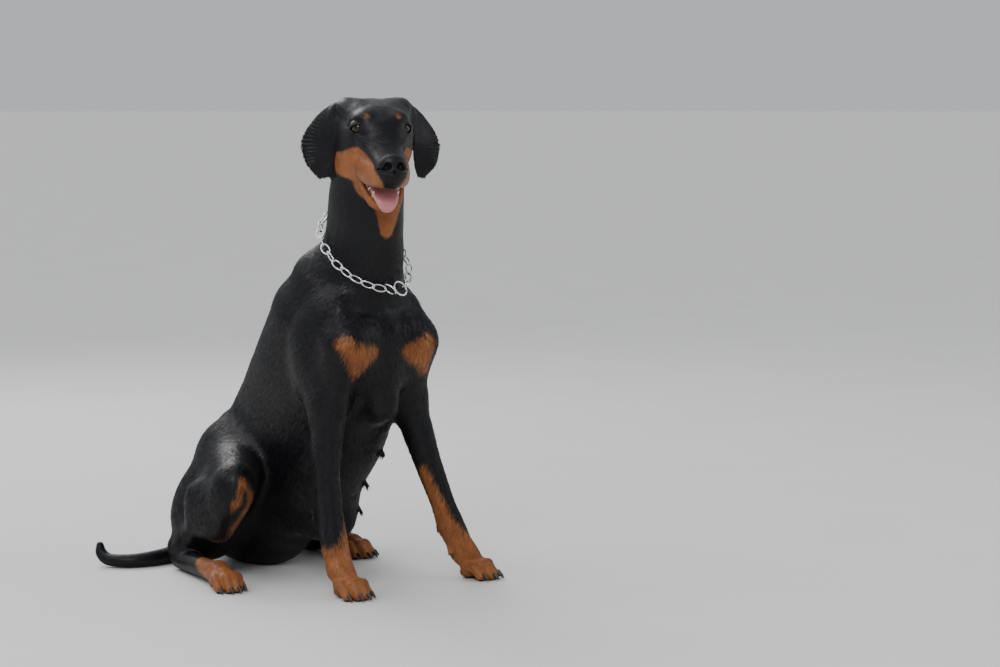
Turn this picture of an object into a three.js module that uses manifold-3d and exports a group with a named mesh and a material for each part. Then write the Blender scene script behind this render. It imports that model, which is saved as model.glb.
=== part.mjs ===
// A sitting doberman bitch at life size, as a museum shows it: short-coated, undocked, with drop ears, an open
// mouth and a long-link chain collar. Millimetres, +Z up, the dog faces -Y and its left side is +X.
//
// The flesh is one signed distance field, built from named landmarks of the skeleton and the thickness of the
// flesh round them. Each node is a part of that field, meshed on a lattice, thinned to a few faces and cut from its
// neighbours by flat cuts, so that the nodes meet face to face.
import * as THREE from "three";
import { mergeVertices } from "three/addons/utils/BufferGeometryUtils.js";
import Module from "manifold-3d";

const wasm = await Module();
wasm.setup();

// Driving dimensions
const WITHERS_UP = 625; // top of the shoulder blades, sitting
const ELBOW_UP = 330;
const CHEST_HALF_WIDTH = 112;
const HIP_HALF_WIDTH = 96;
const PELVIS_TURN = 8; // degrees: the hips face a little to the dog's left of the chest
const HEAD_TURN = 28; // degrees, to the dog's right
const HEAD_NOD = 13; // degrees, nose down
const JAW_OPEN = 32; // degrees below the line of the muzzle
const PART_GAP = 0.3; // between two nodes that meet
const EYE_RADIUS = 11;
const EAR_THICKNESS = 4.4;
const CHAIN_WIRE = 3.2;
const LINK_LENGTH = 29;
const LINK_WIDTH = 17;
const CHAIN_LIFT = 8.8; // centre of a link above the coat
const RING_LIFT = 3.6; // how much further the rings stand off
const RING_DIAMETER = 31;
const RING_WIRE = 3.8;

// A place on the dog: how far to its left, how far ahead of the elbows, how high
const at = (side, ahead, up) => new THREE.Vector3(side, -ahead, up);
const degrees = THREE.MathUtils.degToRad;
const mix = (a, b, t) => a + (b - a) * t;
const norm = (x, y, z) => Math.sqrt(x * x + y * y + z * z);

// Smooth joins of two distances
const join = (a, b, blend) => {
  const h = Math.max(blend - Math.abs(a - b), 0) / blend;
  return Math.min(a, b) - h * h * blend * 0.25;
};
const carve = (a, b, blend) => -join(-a, b, blend);

// Lumps of flesh: each has a distance and a ball that holds it

// A muscle or bone that tapers from one ball to another
function taper(a, b, radiusA, radiusB = radiusA) {
  const dx = b.x - a.x;
  const dy = b.y - a.y;
  const dz = b.z - a.z;
  const square = dx * dx + dy * dy + dz * dz || 1;
  return {
    centre: a.clone().lerp(b, 0.5),
    reach: a.distanceTo(b) / 2 + Math.max(radiusA, radiusB),
    distance(x, y, z) {
      const px = x - a.x;
      const py = y - a.y;
      const pz = z - a.z;
      const t = Math.min(1, Math.max(0, (px * dx + py * dy + pz * dz) / square));
      return norm(px - t * dx, py - t * dy, pz - t * dz) - mix(radiusA, radiusB, t);
    },
  };
}

// An ellipsoid with radii along its own three axes, turned by degrees about X, Y and Z
function oval(centre, radii, turn = [0, 0, 0]) {
  const basis = new THREE.Matrix4().makeRotationFromEuler(new THREE.Euler(...turn.map(degrees), "ZYX"));
  const m = basis.transpose().elements;
  const [rx, ry, rz] = radii;
  return {
    centre: centre.clone(),
    reach: Math.max(...radii),
    distance(x, y, z) {
      const px = x - centre.x;
      const py = y - centre.y;
      const pz = z - centre.z;
      const u = m[0] * px + m[4] * py + m[8] * pz;
      const v = m[1] * px + m[5] * py + m[9] * pz;
      const w = m[2] * px + m[6] * py + m[10] * pz;
      const scaled = norm(u / rx, v / ry, w / rz);
      const slope = norm(u / (rx * rx), v / (ry * ry), w / (rz * rz));
      return slope < 1e-9 ? -Math.min(rx, ry, rz) : (scaled * (scaled - 1)) / slope;
    },
  };
}

// A body with a flattened round section along a smooth line. Each station has its place, half its width, and how far
// it reaches to the front of the line and to the back. The stations' side may turn about the vertical.
function trunk(stations, { squareness = 2.2, steps = 5, front = at(0, 1, 0) } = {}) {
  const line = new THREE.CatmullRomCurve3(stations.map((s) => s.place), false, "centripetal");
  const count = stations.length - 1;
  const samples = [];
  for (let i = 0; i <= count * steps; i++) {
    const t = i / steps;
    const [k, f] = [Math.min(Math.floor(t), count - 1), t - Math.min(Math.floor(t), count - 1)];
    const smooth = f * f * (3 - 2 * f);
    const value = (name) => mix(stations[k][name] ?? 0, stations[k + 1][name] ?? 0, mix(f, smooth, 0.5));
    samples.push({ p: line.getPoint(i / (count * steps)), w: value("width"), f: value("front"),
      b: value("back"), turn: degrees(value("turn")) });
  }
  const pieces = samples.slice(1).map((end, i) => {
    const start = samples[i];
    const along = end.p.clone().sub(start.p);
    const length = along.length();
    along.divideScalar(length);
    const ahead = front.clone().applyAxisAngle(new THREE.Vector3(0, 0, 1), (start.turn + end.turn) / 2);
    const side = new THREE.Vector3().crossVectors(along, ahead).normalize();
    const fore = new THREE.Vector3().crossVectors(side, along).normalize();
    const reach = length + Math.max(start.w, start.f, start.b, end.w, end.f, end.b);
    return { start, end, along, length, side, fore, reach };
  });
  const box = new THREE.Box3().setFromPoints(samples.map((s) => s.p));
  const widest = Math.max(...samples.map((s) => Math.max(s.w, s.f, s.b)));
  const centre = box.getCenter(new THREE.Vector3());
  return {
    centre,
    reach: Math.max(...samples.map((s) => s.p.distanceTo(centre))) + widest,
    distance(x, y, z) {
      let best = Infinity;
      for (const { start, end, along, length, side, fore, reach } of pieces) {
        const px = x - start.p.x;
        const py = y - start.p.y;
        const pz = z - start.p.z;
        if (norm(px, py, pz) - reach > best) continue;
        const run = px * along.x + py * along.y + pz * along.z;
        const t = Math.min(1, Math.max(0, run / length));
        const past = run - t * length;
        const u = px * side.x + py * side.y + pz * side.z;
        const v = px * fore.x + py * fore.y + pz * fore.z;
        const ru = mix(start.w, end.w, t);
        const rv = v > 0 ? mix(start.f, end.f, t) : mix(start.b, end.b, t);
        const rw = Math.min(ru, rv);
        const su = Math.abs(u) / ru;
        const sv = Math.abs(v) / rv;
        const sw = Math.abs(past) / rw;
        const ring = Math.pow(Math.pow(su, squareness) + Math.pow(sv, squareness), 1 / squareness);
        const scaled = norm(ring, sw, 0);
        if (scaled < 1e-6) {
          best = Math.min(best, -rw);
          continue;
        }
        const slope = norm(u / (ru * ru), v / (rv * rv), past / (rw * rw)) / norm(su, sv, sw);
        best = Math.min(best, (scaled - 1) / slope);
      }
      return best;
    },
  };
}

// A thin leather: round-edged triangles that share corners
function leather(corners, faces, thickness) {
  const points = Object.values(corners);
  const centre = new THREE.Box3().setFromPoints(points).getCenter(new THREE.Vector3());
  const triangles = faces.map((face) => new THREE.Triangle(...face.map((name) => corners[name])));
  const [query, near] = [new THREE.Vector3(), new THREE.Vector3()];
  return {
    centre,
    reach: Math.max(...points.map((p) => p.distanceTo(centre))) + thickness,
    distance(x, y, z) {
      query.set(x, y, z);
      let best = Infinity;
      for (const triangle of triangles) {
        triangle.closestPointToPoint(query, near);
        best = join(best === Infinity ? 1e3 : best, near.distanceTo(query), thickness * 1.6);
      }
      return best - thickness / 2;
    },
  };
}

// One field made of lumps that are added or carved in turn
class Field {
  constructor() {
    this.steps = [];
  }
  add(lump, blend) {
    this.steps.push({ lump, blend, sign: 1 });
    return this;
  }
  cut(lump, blend) {
    this.steps.push({ lump, blend, sign: -1 });
    return this;
  }
  distance(x, y, z) {
    let d = 1e3;
    for (const { lump, blend, sign } of this.steps) {
      const { centre, reach } = lump;
      const least = norm(x - centre.x, y - centre.y, z - centre.z) - reach;
      if (sign > 0) {
        if (least < d + blend) d = join(d, lump.distance(x, y, z), blend);
      } else if (least < blend - d) d = carve(d, lump.distance(x, y, z), blend);
    }
    return d;
  }
}

// The trunk, from the withers down the back to the pelvis

function torsoFlesh(field) {
  const station = (ahead, up, width, front, back, turn = 0, side = 0) =>
    ({ place: at(side, ahead, up), width, front, back, turn });
  const chest = CHEST_HALF_WIDTH;
  field.add(trunk([
    station(-96, 536, chest * 0.74, 96, 96),
    station(-100, 505, chest * 0.88, 122, 120),
    station(-112, 468, chest, 148, 140),
    station(-150, 385, chest, 166, 152),
    station(-190, 315, chest * 0.95, 176, 158, 2),
    station(-232, 250, chest * 0.9, 170, 156, 4, -4),
    station(-272, 190, HIP_HALF_WIDTH, 142, 150, 6, -6),
    station(-306, 130, HIP_HALF_WIDTH, 112, 136, PELVIS_TURN, -8),
    station(-330, 70, HIP_HALF_WIDTH * 0.9, 96, 112, PELVIS_TURN, -8),
  ], { squareness: 2.25 }), 1);
  // Keel of the breastbone, the furrow between the breast muscles, and the hanging milk line
  field.add(taper(at(0, 34, 470), at(0, 20, 330), 20, 26), 40);
  for (const hand of [-1, 1]) {
    field.add(oval(at(hand * 40, 22, 430), [34, 26, 66], [8, hand * 6, 0]), 26);
    field.add(oval(at(hand * 38, -88, 150), [44, 46, 70], [-38, 0, 0]), 40);
  }
  // Croup, loin and the seat the dog rests on
  field.add(oval(at(-8, -378, 190), [74, 60, 110], [-24, 0, 0]), 50);
  field.add(oval(at(-10, -392, 60), [88, 76, 66]), 45);
  return field;
}

// The neck, from between the shoulders to the back of the skull

function neckFlesh(field) {
  const station = (side, ahead, up, width, front, back, turn) => ({ place: at(side, ahead, up), width, front, back, turn });
  field.add(trunk([
    station(0, -72, 560, 72, 92, 88, 0),
    station(0, -52, 606, 63, 82, 82, -4),
    station(-1, -40, 652, 58, 76, 76, -8),
    station(-3, -28, 705, 56, 70, 70, -14),
    station(-6, -14, 755, 53, 62, 64, -20),
    station(-10, 0, 805, 50, 56, 60, -HEAD_TURN),
  ], { squareness: 2.1 }), 40);
  // Windpipe and the two straps of muscle that run from the breastbone to the jaw
  field.add(taper(at(2, 12, 590), at(-8, 36, 735), 26, 24), 30);
  return field;
}

// Shoulder, upper arm, forearm and paw of one side. The marks are its joints.

const FORELEG = {
  right: {
    hand: -1, blade: at(-44, -132, 572), point: at(-80, 12, 446), elbow: at(-96, -22, ELBOW_UP), mid: at(-102, -4, 215),
    wrist: at(-107, 20, 98), pastern: at(-109, 40, 46), paw: at(-110, 62, 0), toeing: -4,
  },
  left: {
    hand: 1, blade: at(44, -132, 572), point: at(80, 12, 446), elbow: at(88, -16, ELBOW_UP), mid: at(112, 14, 215),
    wrist: at(148, 36, 98), pastern: at(170, 48, 46), paw: at(184, 66, 0), toeing: 16,
  },
};

function forelegFlesh(field, leg) {
  const { hand, blade, point, elbow, mid, wrist, pastern } = leg;
  const shift = (place, side, ahead, up) => place.clone().add(at(side * hand, ahead, up));
  // Shoulder blade with its muscles, upper arm and triceps
  field.add(taper(blade, point, 26, 36), 46);
  field.add(oval(shift(point, -4, -52, 14), [30, 52, 74], [26, hand * 8, 0]), 36);
  field.add(taper(point, shift(elbow, -4, 6, 16), 38, 30), 30);
  field.add(oval(shift(elbow, 2, -38, 76), [29, 44, 82], [-16, 0, 0]), 30);
  field.add(taper(shift(elbow, 3, -26, 8), shift(elbow, 2, -10, -10), 15, 21), 20);
  // Forearm, thick below the elbow, with the wrist bones and the two long tendons behind
  field.add(trunk([
    { place: shift(elbow, 0, 4, 4), width: 28, front: 30, back: 28 },
    { place: elbow.clone().lerp(mid, 0.42), width: 26, front: 29, back: 28 },
    { place: mid, width: 21.5, front: 23, back: 24 },
    { place: mid.clone().lerp(wrist, 0.62), width: 19.5, front: 19, back: 21 },
    { place: wrist, width: 23, front: 20, back: 21 },
    { place: pastern, width: 23, front: 19, back: 19 },
  ], { squareness: 2.3, front: at(0, 1, 0) }), 26);
  field.add(taper(shift(wrist, -4, -20, 14), shift(wrist, -4, -24, -6), 9, 11), 12);
  pawFlesh(field, leg, 1);
  return field;
}

// Four arched toes with their claws and pads, round a broad central pad

const TOES = [-1.5, -0.5, 0.5, 1.5];
const TOE_PITCH = 15;

function pawFlesh(field, leg, size) {
  const { paw, pastern, toeing, hand } = leg;
  const turned = (side, ahead, up) =>
    at(side, ahead, up).applyAxisAngle(new THREE.Vector3(0, 0, 1), degrees(toeing)).multiplyScalar(size).add(paw);
  field.add(taper(pastern, turned(0, -6, 26), 21 * size, 22 * size), 16);
  field.add(oval(turned(0, -14, 11), [25 * size, 19 * size, 13 * size], [0, 0, toeing]), 10);
  for (const place of TOES) {
    const outer = Math.abs(place) > 1;
    const ahead = outer ? 13 : 25;
    const knuckle = turned(place * TOE_PITCH, ahead - 6, outer ? 24 : 28);
    const tip = turned(place * TOE_PITCH * 1.08, ahead + 11, 8);
    field.add(taper(turned(place * TOE_PITCH * 0.75, -12, 25), knuckle, 11.5 * size, 10.5 * size), 7);
    field.add(taper(knuckle, tip, 10.5 * size, 9.6 * size), 5);
    const claw = turned(place * TOE_PITCH * 1.1, ahead + 20, 12);
    const clawEnd = turned(place * TOE_PITCH * 1.14, ahead + 29, 4.5);
    field.add(taper(claw, clawEnd, 3.6 * size, 1.9 * size), 2);
  }
  if (size === 1) {
    // Dew claw on the inner side
    const root = pastern.clone().lerp(leg.wrist, 0.35).add(at(-hand * 20, -4, 0));
    field.add(taper(root, root.clone().add(at(-hand * 4, 4, -14)), 7, 5.5), 6);
    field.add(taper(root.clone().add(at(-hand * 4, 5, -15)), root.clone().add(at(-hand * 3, 10, -25)), 3, 1.6), 2);
  }
}

// Thigh, shin, hock and hind paw of one side, folded as the dog sits

const HINDLEG = {
  right: {
    hand: -1, hip: at(-84, -318, 205), knee: at(-196, -158, 196), hock: at(-188, -324, 40),
    pastern: at(-224, -186, 26), paw: at(-236, -148, 0), wrist: at(-200, -290, 30), toeing: -10,
  },
  left: {
    hand: 1, hip: at(72, -344, 202), knee: at(144, -270, 188), hock: at(138, -428, 40),
    pastern: at(152, -296, 26), paw: at(156, -260, 0), wrist: at(142, -380, 30), toeing: 8,
  },
};

function hindlegFlesh(field, leg) {
  const { hand, hip, knee, hock, pastern } = leg;
  const shift = (place, side, ahead, up) => place.clone().add(at(side * hand, ahead, up));
  // Buttock and thigh: a deep wedge from the hip to the knee, flat on its inner face
  field.add(oval(shift(hip, -4, -10, -10), [54, 92, 84], [0, 0, -hand * 12]), 44);
  field.add(oval(shift(hip, 34, -30, -84), [46, 88, 78], [0, 0, -hand * 14]), 36);
  field.add(taper(hip, shift(knee, -8, -22, -8), 66, 38), 34);
  field.add(taper(shift(hip, 14, -24, -60), shift(knee, -4, -34, -44), 56, 36), 30);
  field.add(taper(shift(knee, 0, -12, 0), shift(knee, 3, -6, -20), 27, 23), 18);
  // Shin with its calf, the cord of the heel, the heel bone
  field.add(taper(shift(knee, 2, -14, -16), shift(hock, 4, 24, 12), 33, 17), 22);
  field.add(oval(knee.clone().lerp(hock, 0.36).add(at(hand * 8, -8, -14)), [27, 56, 34], [38, 0, -hand * 6]), 22);
  field.add(taper(shift(hock, 0, -2, -4), shift(hock, 0, 16, -8), 20, 21), 14);
  // Long foot, flat on the floor
  field.add(taper(shift(hock, 2, 10, -18), pastern, 19, 20), 14);
  pawFlesh(field, leg, 0.96);
  return field;
}

// The tail leaves the croup, lies on the floor and ends in a small upward hook

const TAIL = [
  [0, -428, 118, 34], [-6, -462, 80, 27], [-20, -484, 42, 22], [-60, -480, 20, 19.5], [-118, -446, 16.5, 18],
  [-190, -416, 15, 16.5], [-262, -424, 13.5, 15], [-322, -454, 13.5, 14], [-358, -480, 14, 13], [-378, -490, 26, 12],
  [-382, -484, 40, 8.5],
].map(([side, ahead, up, radius]) => ({ place: at(side, ahead, up), width: radius, front: radius, back: radius }));

function tailFlesh(field) {
  return field.add(trunk(TAIL, { steps: 3, squareness: 2, front: at(0, 0.3, 1) }), 10);
}

// The head, in its own frame: side (+ is the dog's left), along the muzzle, up from the line of the eyes

const HEAD_PLACE = at(-10, 14, 845);
const headTurn = new THREE.Matrix4().makeRotationFromEuler(new THREE.Euler(degrees(HEAD_NOD), 0, -degrees(HEAD_TURN), "ZYX"));
const headFrame = headTurn.clone().setPosition(HEAD_PLACE);
const inHead = (side, along, up) => at(side, along, up); // a place in the head's own frame

const JAW_HINGE = inHead(0, -4, -52);
// A place on the lower jaw, measured along it from the hinge and up from its middle line
function onJaw(side, along, up) {
  const [c, s] = [Math.cos(degrees(JAW_OPEN)), Math.sin(degrees(JAW_OPEN))];
  return JAW_HINGE.clone().add(inHead(side, along * c + up * s, -along * s + up * c));
}

const EYE = { side: 37, along: 43, up: 0 };
const eyePlace = (hand) => inHead(hand * EYE.side, EYE.along, EYE.up);
const GAZE_OUT = 24; // degrees

// The two lids round an eye: a thin shell with an almond slit that faces along the gaze
function lids(hand) {
  const eye = eyePlace(hand);
  const gaze = at(hand * Math.sin(degrees(GAZE_OUT)), Math.cos(degrees(GAZE_OUT)), 0.06).normalize();
  const across = new THREE.Vector3().crossVectors(new THREE.Vector3(0, 0, 1), gaze).normalize();
  const upward = new THREE.Vector3().crossVectors(gaze, across).normalize();
  const [shell, slitWidth, slitHeight] = [EYE_RADIUS + 3.1, 12.6, 7];
  return {
    centre: eye,
    reach: shell + 3,
    distance(x, y, z) {
      const px = x - eye.x;
      const py = y - eye.y;
      const pz = z - eye.z;
      const u = px * across.x + py * across.y + pz * across.z;
      const v = px * upward.x + py * upward.y + pz * upward.z;
      const w = px * gaze.x + py * gaze.y + pz * gaze.z;
      const ball = Math.abs(norm(px, py, pz) - shell + 0.9) - 1.9;
      const lean = v - u * -hand * 0.16;
      const slit = (slitHeight * (1 - (u / slitWidth) ** 2) - Math.abs(lean)) * 0.8;
      return Math.max(ball, w > 0 ? slit : -1e3);
    },
  };
}

function headFlesh(field) {
  const station = (along, up, width, top, under) => ({ place: inHead(0, along, up), width, front: top, back: under });
  const upright = { squareness: 2.5, front: at(0, 0, 1) };
  // Skull, flat on top, and the wedge of the muzzle
  field.add(trunk([
    station(-80, 2, 30, 18, 36), station(-52, -2, 45, 34, 46), station(-16, -2, 53, 39, 54), station(20, -2, 51, 38, 52),
    station(44, -6, 42, 31, 44), station(58, -13, 34, 20, 38),
  ], upright), 1);
  field.add(trunk([
    station(26, -24, 36, 26, 38), station(60, -32, 34, 23, 36), station(95, -38, 29.5, 23, 34),
    station(130, -43, 26.5, 22.5, 30), station(154, -46, 23, 20, 26), station(164, -46, 17, 15, 18),
  ], { ...upright, squareness: 2.6 }), 20);
  for (const hand of [-1, 1]) {
    field.add(oval(inHead(hand * 31, -22, 16), [25, 44, 21], [0, 0, 0]), 12); // temple
    field.add(taper(inHead(hand * 38, 40, -14), inHead(hand * 48, -14, -12), 9, 11), 16); // cheek bone
    field.add(oval(inHead(hand * 41, 0, -42), [19, 40, 33], [-14, 0, 0]), 18); // cheek muscle
    field.add(oval(inHead(hand * 28, 42, 19), [15, 15, 10]), 12); // brow
    field.add(oval(inHead(hand * 50, -28, 22), [15, 25, 16]), 12); // root of the ear
    // Upper lip, hanging a little past the jaw, with its round corner
    field.add(trunk([
      { place: inHead(hand * 37, 52, -64), width: 8, front: 16, back: 16 },
      { place: inHead(hand * 33, 86, -68), width: 8.5, front: 20, back: 19 },
      { place: inHead(hand * 25, 122, -68), width: 9.5, front: 20, back: 19 },
      { place: inHead(hand * 14, 148, -64), width: 10, front: 17, back: 16 },
      { place: inHead(hand * 5, 156, -62), width: 10, front: 14, back: 14 },
    ], { squareness: 2.1, front: at(0, 0, 1) }), 12);
  }
  // Nose leather
  field.add(oval(inHead(0, 160, -33), [20.5, 14, 15.5], [-8, 0, 0]), 5);
  return field;
}

function jawFlesh(field) {
  const station = (along, up, width, top, under) => ({ place: onJaw(0, along, up), width, front: top, back: under });
  field.add(trunk([
    station(2, -6, 42, 20, 28), station(40, -4, 39, 13, 20), station(80, -2, 34, 11, 16), station(108, 0, 28, 11, 14),
    station(128, 1, 21, 10, 13), station(139, 2, 14, 8, 9),
  ], { squareness: 2.3, front: at(0, 0, 1) }), 10);
  return field;
}

// What is carved from the head: mouth, nostrils and the bed of each eye

function headHollows(field) {
  // Roof of the mouth and the trough of the lower jaw that holds the tongue
  field.cut(trunk([
    { place: inHead(0, 62, -84), width: 27, front: 10, back: 30 },
    { place: inHead(0, 96, -86), width: 23, front: 17, back: 30 },
    { place: inHead(0, 130, -88), width: 17, front: 19, back: 30 },
    { place: inHead(0, 143, -90), width: 10, front: 15, back: 30 },
  ], { squareness: 2.4, front: at(0, 0, 1) }), 5);
  field.cut(trunk([
    { place: onJaw(0, 48, 14), width: 32, front: 16, back: 10 },
    { place: onJaw(0, 84, 14), width: 28, front: 18, back: 12 },
    { place: onJaw(0, 112, 15), width: 21, front: 18, back: 12 },
    { place: onJaw(0, 127, 16), width: 13, front: 14, back: 10 },
  ], { squareness: 2.4, front: at(0, 0, 1) }), 4);
  for (const hand of [-1, 1]) {
    field.cut(oval(inHead(hand * 9.5, 173, -32), [5.4, 12, 4.6], [10, 0, hand * 20]), 2.5);
    field.cut(taper(inHead(hand * 12, 169, -36), inHead(hand * 20, 158, -39), 2.4, 1.2), 2);
  }
  field.cut(taper(inHead(0, 177, -40), inHead(0, 168, -60), 1.3, 1.3), 2.5); // furrow under the nose
  for (const hand of [-1, 1]) {
    const eye = eyePlace(hand);
    field.cut(oval(eye, [EYE_RADIUS + 3.2, EYE_RADIUS + 3.2, EYE_RADIUS + 3.2]), 3);
    field.add(lids(hand), 2.2);
    field.cut(oval(eye, [EYE_RADIUS + PART_GAP, EYE_RADIUS + PART_GAP, EYE_RADIUS + PART_GAP]), 0.2);
  }
  return field;
}

// A drop ear: a folded kite of leather whose root is sunk in the skull

function earFlesh(field, hand) {
  const mark = {
    frontRoot: inHead(hand * 46, 4, 28), backRoot: inHead(hand * 46, -54, 26),
    fold: inHead(hand * 64, -26, 33), heel: inHead(hand * 84, -58, 6), elbow: inHead(hand * 130, -44, -42),
    tip: inHead(hand * 97, -18, -110), front: inHead(hand * 66, 10, -30), hem: inHead(hand * 80, 2, -74),
    belly: inHead(hand * 98, -14, -34),
  };
  return field.add(leather(mark, [
    ["frontRoot", "fold", "backRoot"], ["fold", "backRoot", "heel"], ["fold", "heel", "belly"],
    ["frontRoot", "fold", "belly"], ["frontRoot", "belly", "front"], ["heel", "elbow", "belly"],
    ["belly", "elbow", "tip"], ["front", "belly", "hem"], ["hem", "belly", "tip"],
  ], EAR_THICKNESS), 7);
}

// A group of lumps held in another frame, as one lump
function placed(field, frame, centre, reach) {
  const m = frame.clone().invert().elements;
  return {
    centre: centre.clone().applyMatrix4(frame),
    reach,
    distance: (x, y, z) => field.distance(
      m[0] * x + m[4] * y + m[8] * z + m[12],
      m[1] * x + m[5] * y + m[9] * z + m[13],
      m[2] * x + m[6] * y + m[10] * z + m[14],
    ),
  };
}

// Tongue and teeth, in the head's frame

function tongueFlesh(field) {
  const station = (along, up, width, thick) => ({ place: onJaw(0, along, up), width, front: thick, back: thick });
  return field.add(trunk([
    station(52, 4, 18, 6), station(84, 9, 18.5, 6), station(112, 14, 16.5, 5), station(134, 18, 14.5, 4),
    station(147, 15, 13, 3.6), station(152, 6, 11.5, 3.3), station(153, -3, 8, 2.8),
  ], { squareness: 2.3, front: at(0, 0, 1) }), 1);
}

// A row of teeth on its gum: the arch is half an ellipse that narrows to the back
function teethFlesh(field, place, arch, rise) {
  const spot = (turn, up, out = 0) => place(
    Math.sin(turn) * (arch.width + out),
    arch.front - (1 - Math.cos(turn)) * arch.depth + out * Math.cos(turn),
    up,
  );
  const gum = [-78, -52, -26, 0, 26, 52, 78].map((turn) => ({ place: spot(degrees(turn), 0), width: 3, front: 3, back: 3 }));
  field.add(trunk(gum, { squareness: 2, front: at(0, 0, 1) }), 1);
  for (const hand of [-1, 1]) {
    for (const turn of [4.5, 14, 24]) {
      const root = degrees(hand * turn);
      field.add(taper(spot(root, 0), spot(root, rise * 5.5, 0.8), 2.5, 1.5), 1);
    }
    const canine = degrees(hand * arch.canine);
    field.add(taper(spot(canine, 0), spot(canine, rise * 14, 3.5), 4.2, 1.3), 1.5);
    for (const turn of [56, 66, 76]) {
      const root = degrees(hand * turn);
      field.add(taper(spot(root, 0), spot(root, rise * 6), 3.2, 1.4), 1);
    }
  }
  return field;
}
const lowerArch = { width: 23, depth: 66, front: 131, canine: 34 };
const upperArch = { width: 20, depth: 70, front: 147, canine: 40 };
const lowerTeeth = (field) => teethFlesh(field, (side, along, up) => onJaw(side, along, 9 + up), lowerArch, 1);
const upperTeeth = (field) => teethFlesh(field, (side, along, up) => inHead(side, along, up - 66), upperArch, -1);

// The whole dog

function wholeFlesh() {
  const head = jawFlesh(headFlesh(new Field()));
  headHollows(head);
  earFlesh(head, -1);
  earFlesh(head, 1);
  const flesh = torsoFlesh(new Field());
  neckFlesh(flesh);
  for (const leg of [FORELEG.right, FORELEG.left]) forelegFlesh(flesh, leg);
  for (const leg of [HINDLEG.right, HINDLEG.left]) hindlegFlesh(flesh, leg);
  tailFlesh(flesh);
  return flesh.add(placed(head, headFrame, inHead(0, 30, -30), 200), 16);
}

// Lattice mesher. Every cell is split into the six tetrahedra round its long diagonal, so the surface always closes.

const AXES = [[1, 0, 0], [0, 1, 0], [0, 0, 1]];
const WALKS = [[0, 1, 2], [1, 2, 0], [2, 0, 1], [0, 2, 1], [1, 0, 2], [2, 1, 0]]; // the last three are left-handed
const TETRAHEDRA = WALKS.map((walk, n) => {
  const corners = [[0, 0, 0]];
  for (const axis of walk) corners.push(corners[corners.length - 1].map((value, i) => value + AXES[axis][i]));
  return n < 3 ? corners : [corners[0], corners[2], corners[1], corners[3]];
});

// For each set of corners that are inside, the triangles as pairs of corners, facing out
function trianglesOf(mask) {
  const inside = [0, 1, 2, 3].filter((i) => mask & (1 << i));
  const outside = [0, 1, 2, 3].filter((i) => !(mask & (1 << i)));
  const order = inside.length === 3 ? [...outside, ...inside] : [...inside, ...outside];
  let turns = 0;
  for (let i = 0; i < 4; i++) for (let j = i + 1; j < 4; j++) if (order[i] > order[j]) turns++;
  if (turns % 2) [order[2], order[3]] = [order[3], order[2]];
  const [i, j, k, l] = order;
  if (inside.length === 1) return [[[i, j], [i, k], [i, l]]];
  if (inside.length === 3) return [[[i, j], [i, l], [i, k]]];
  return inside.length === 2 ? [[[i, k], [i, l], [j, l]], [[i, k], [j, l], [j, k]]] : [];
}
const CASES = Array.from({ length: 16 }, (_, mask) => trianglesOf(mask));
const BLOCK = 4;

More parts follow.
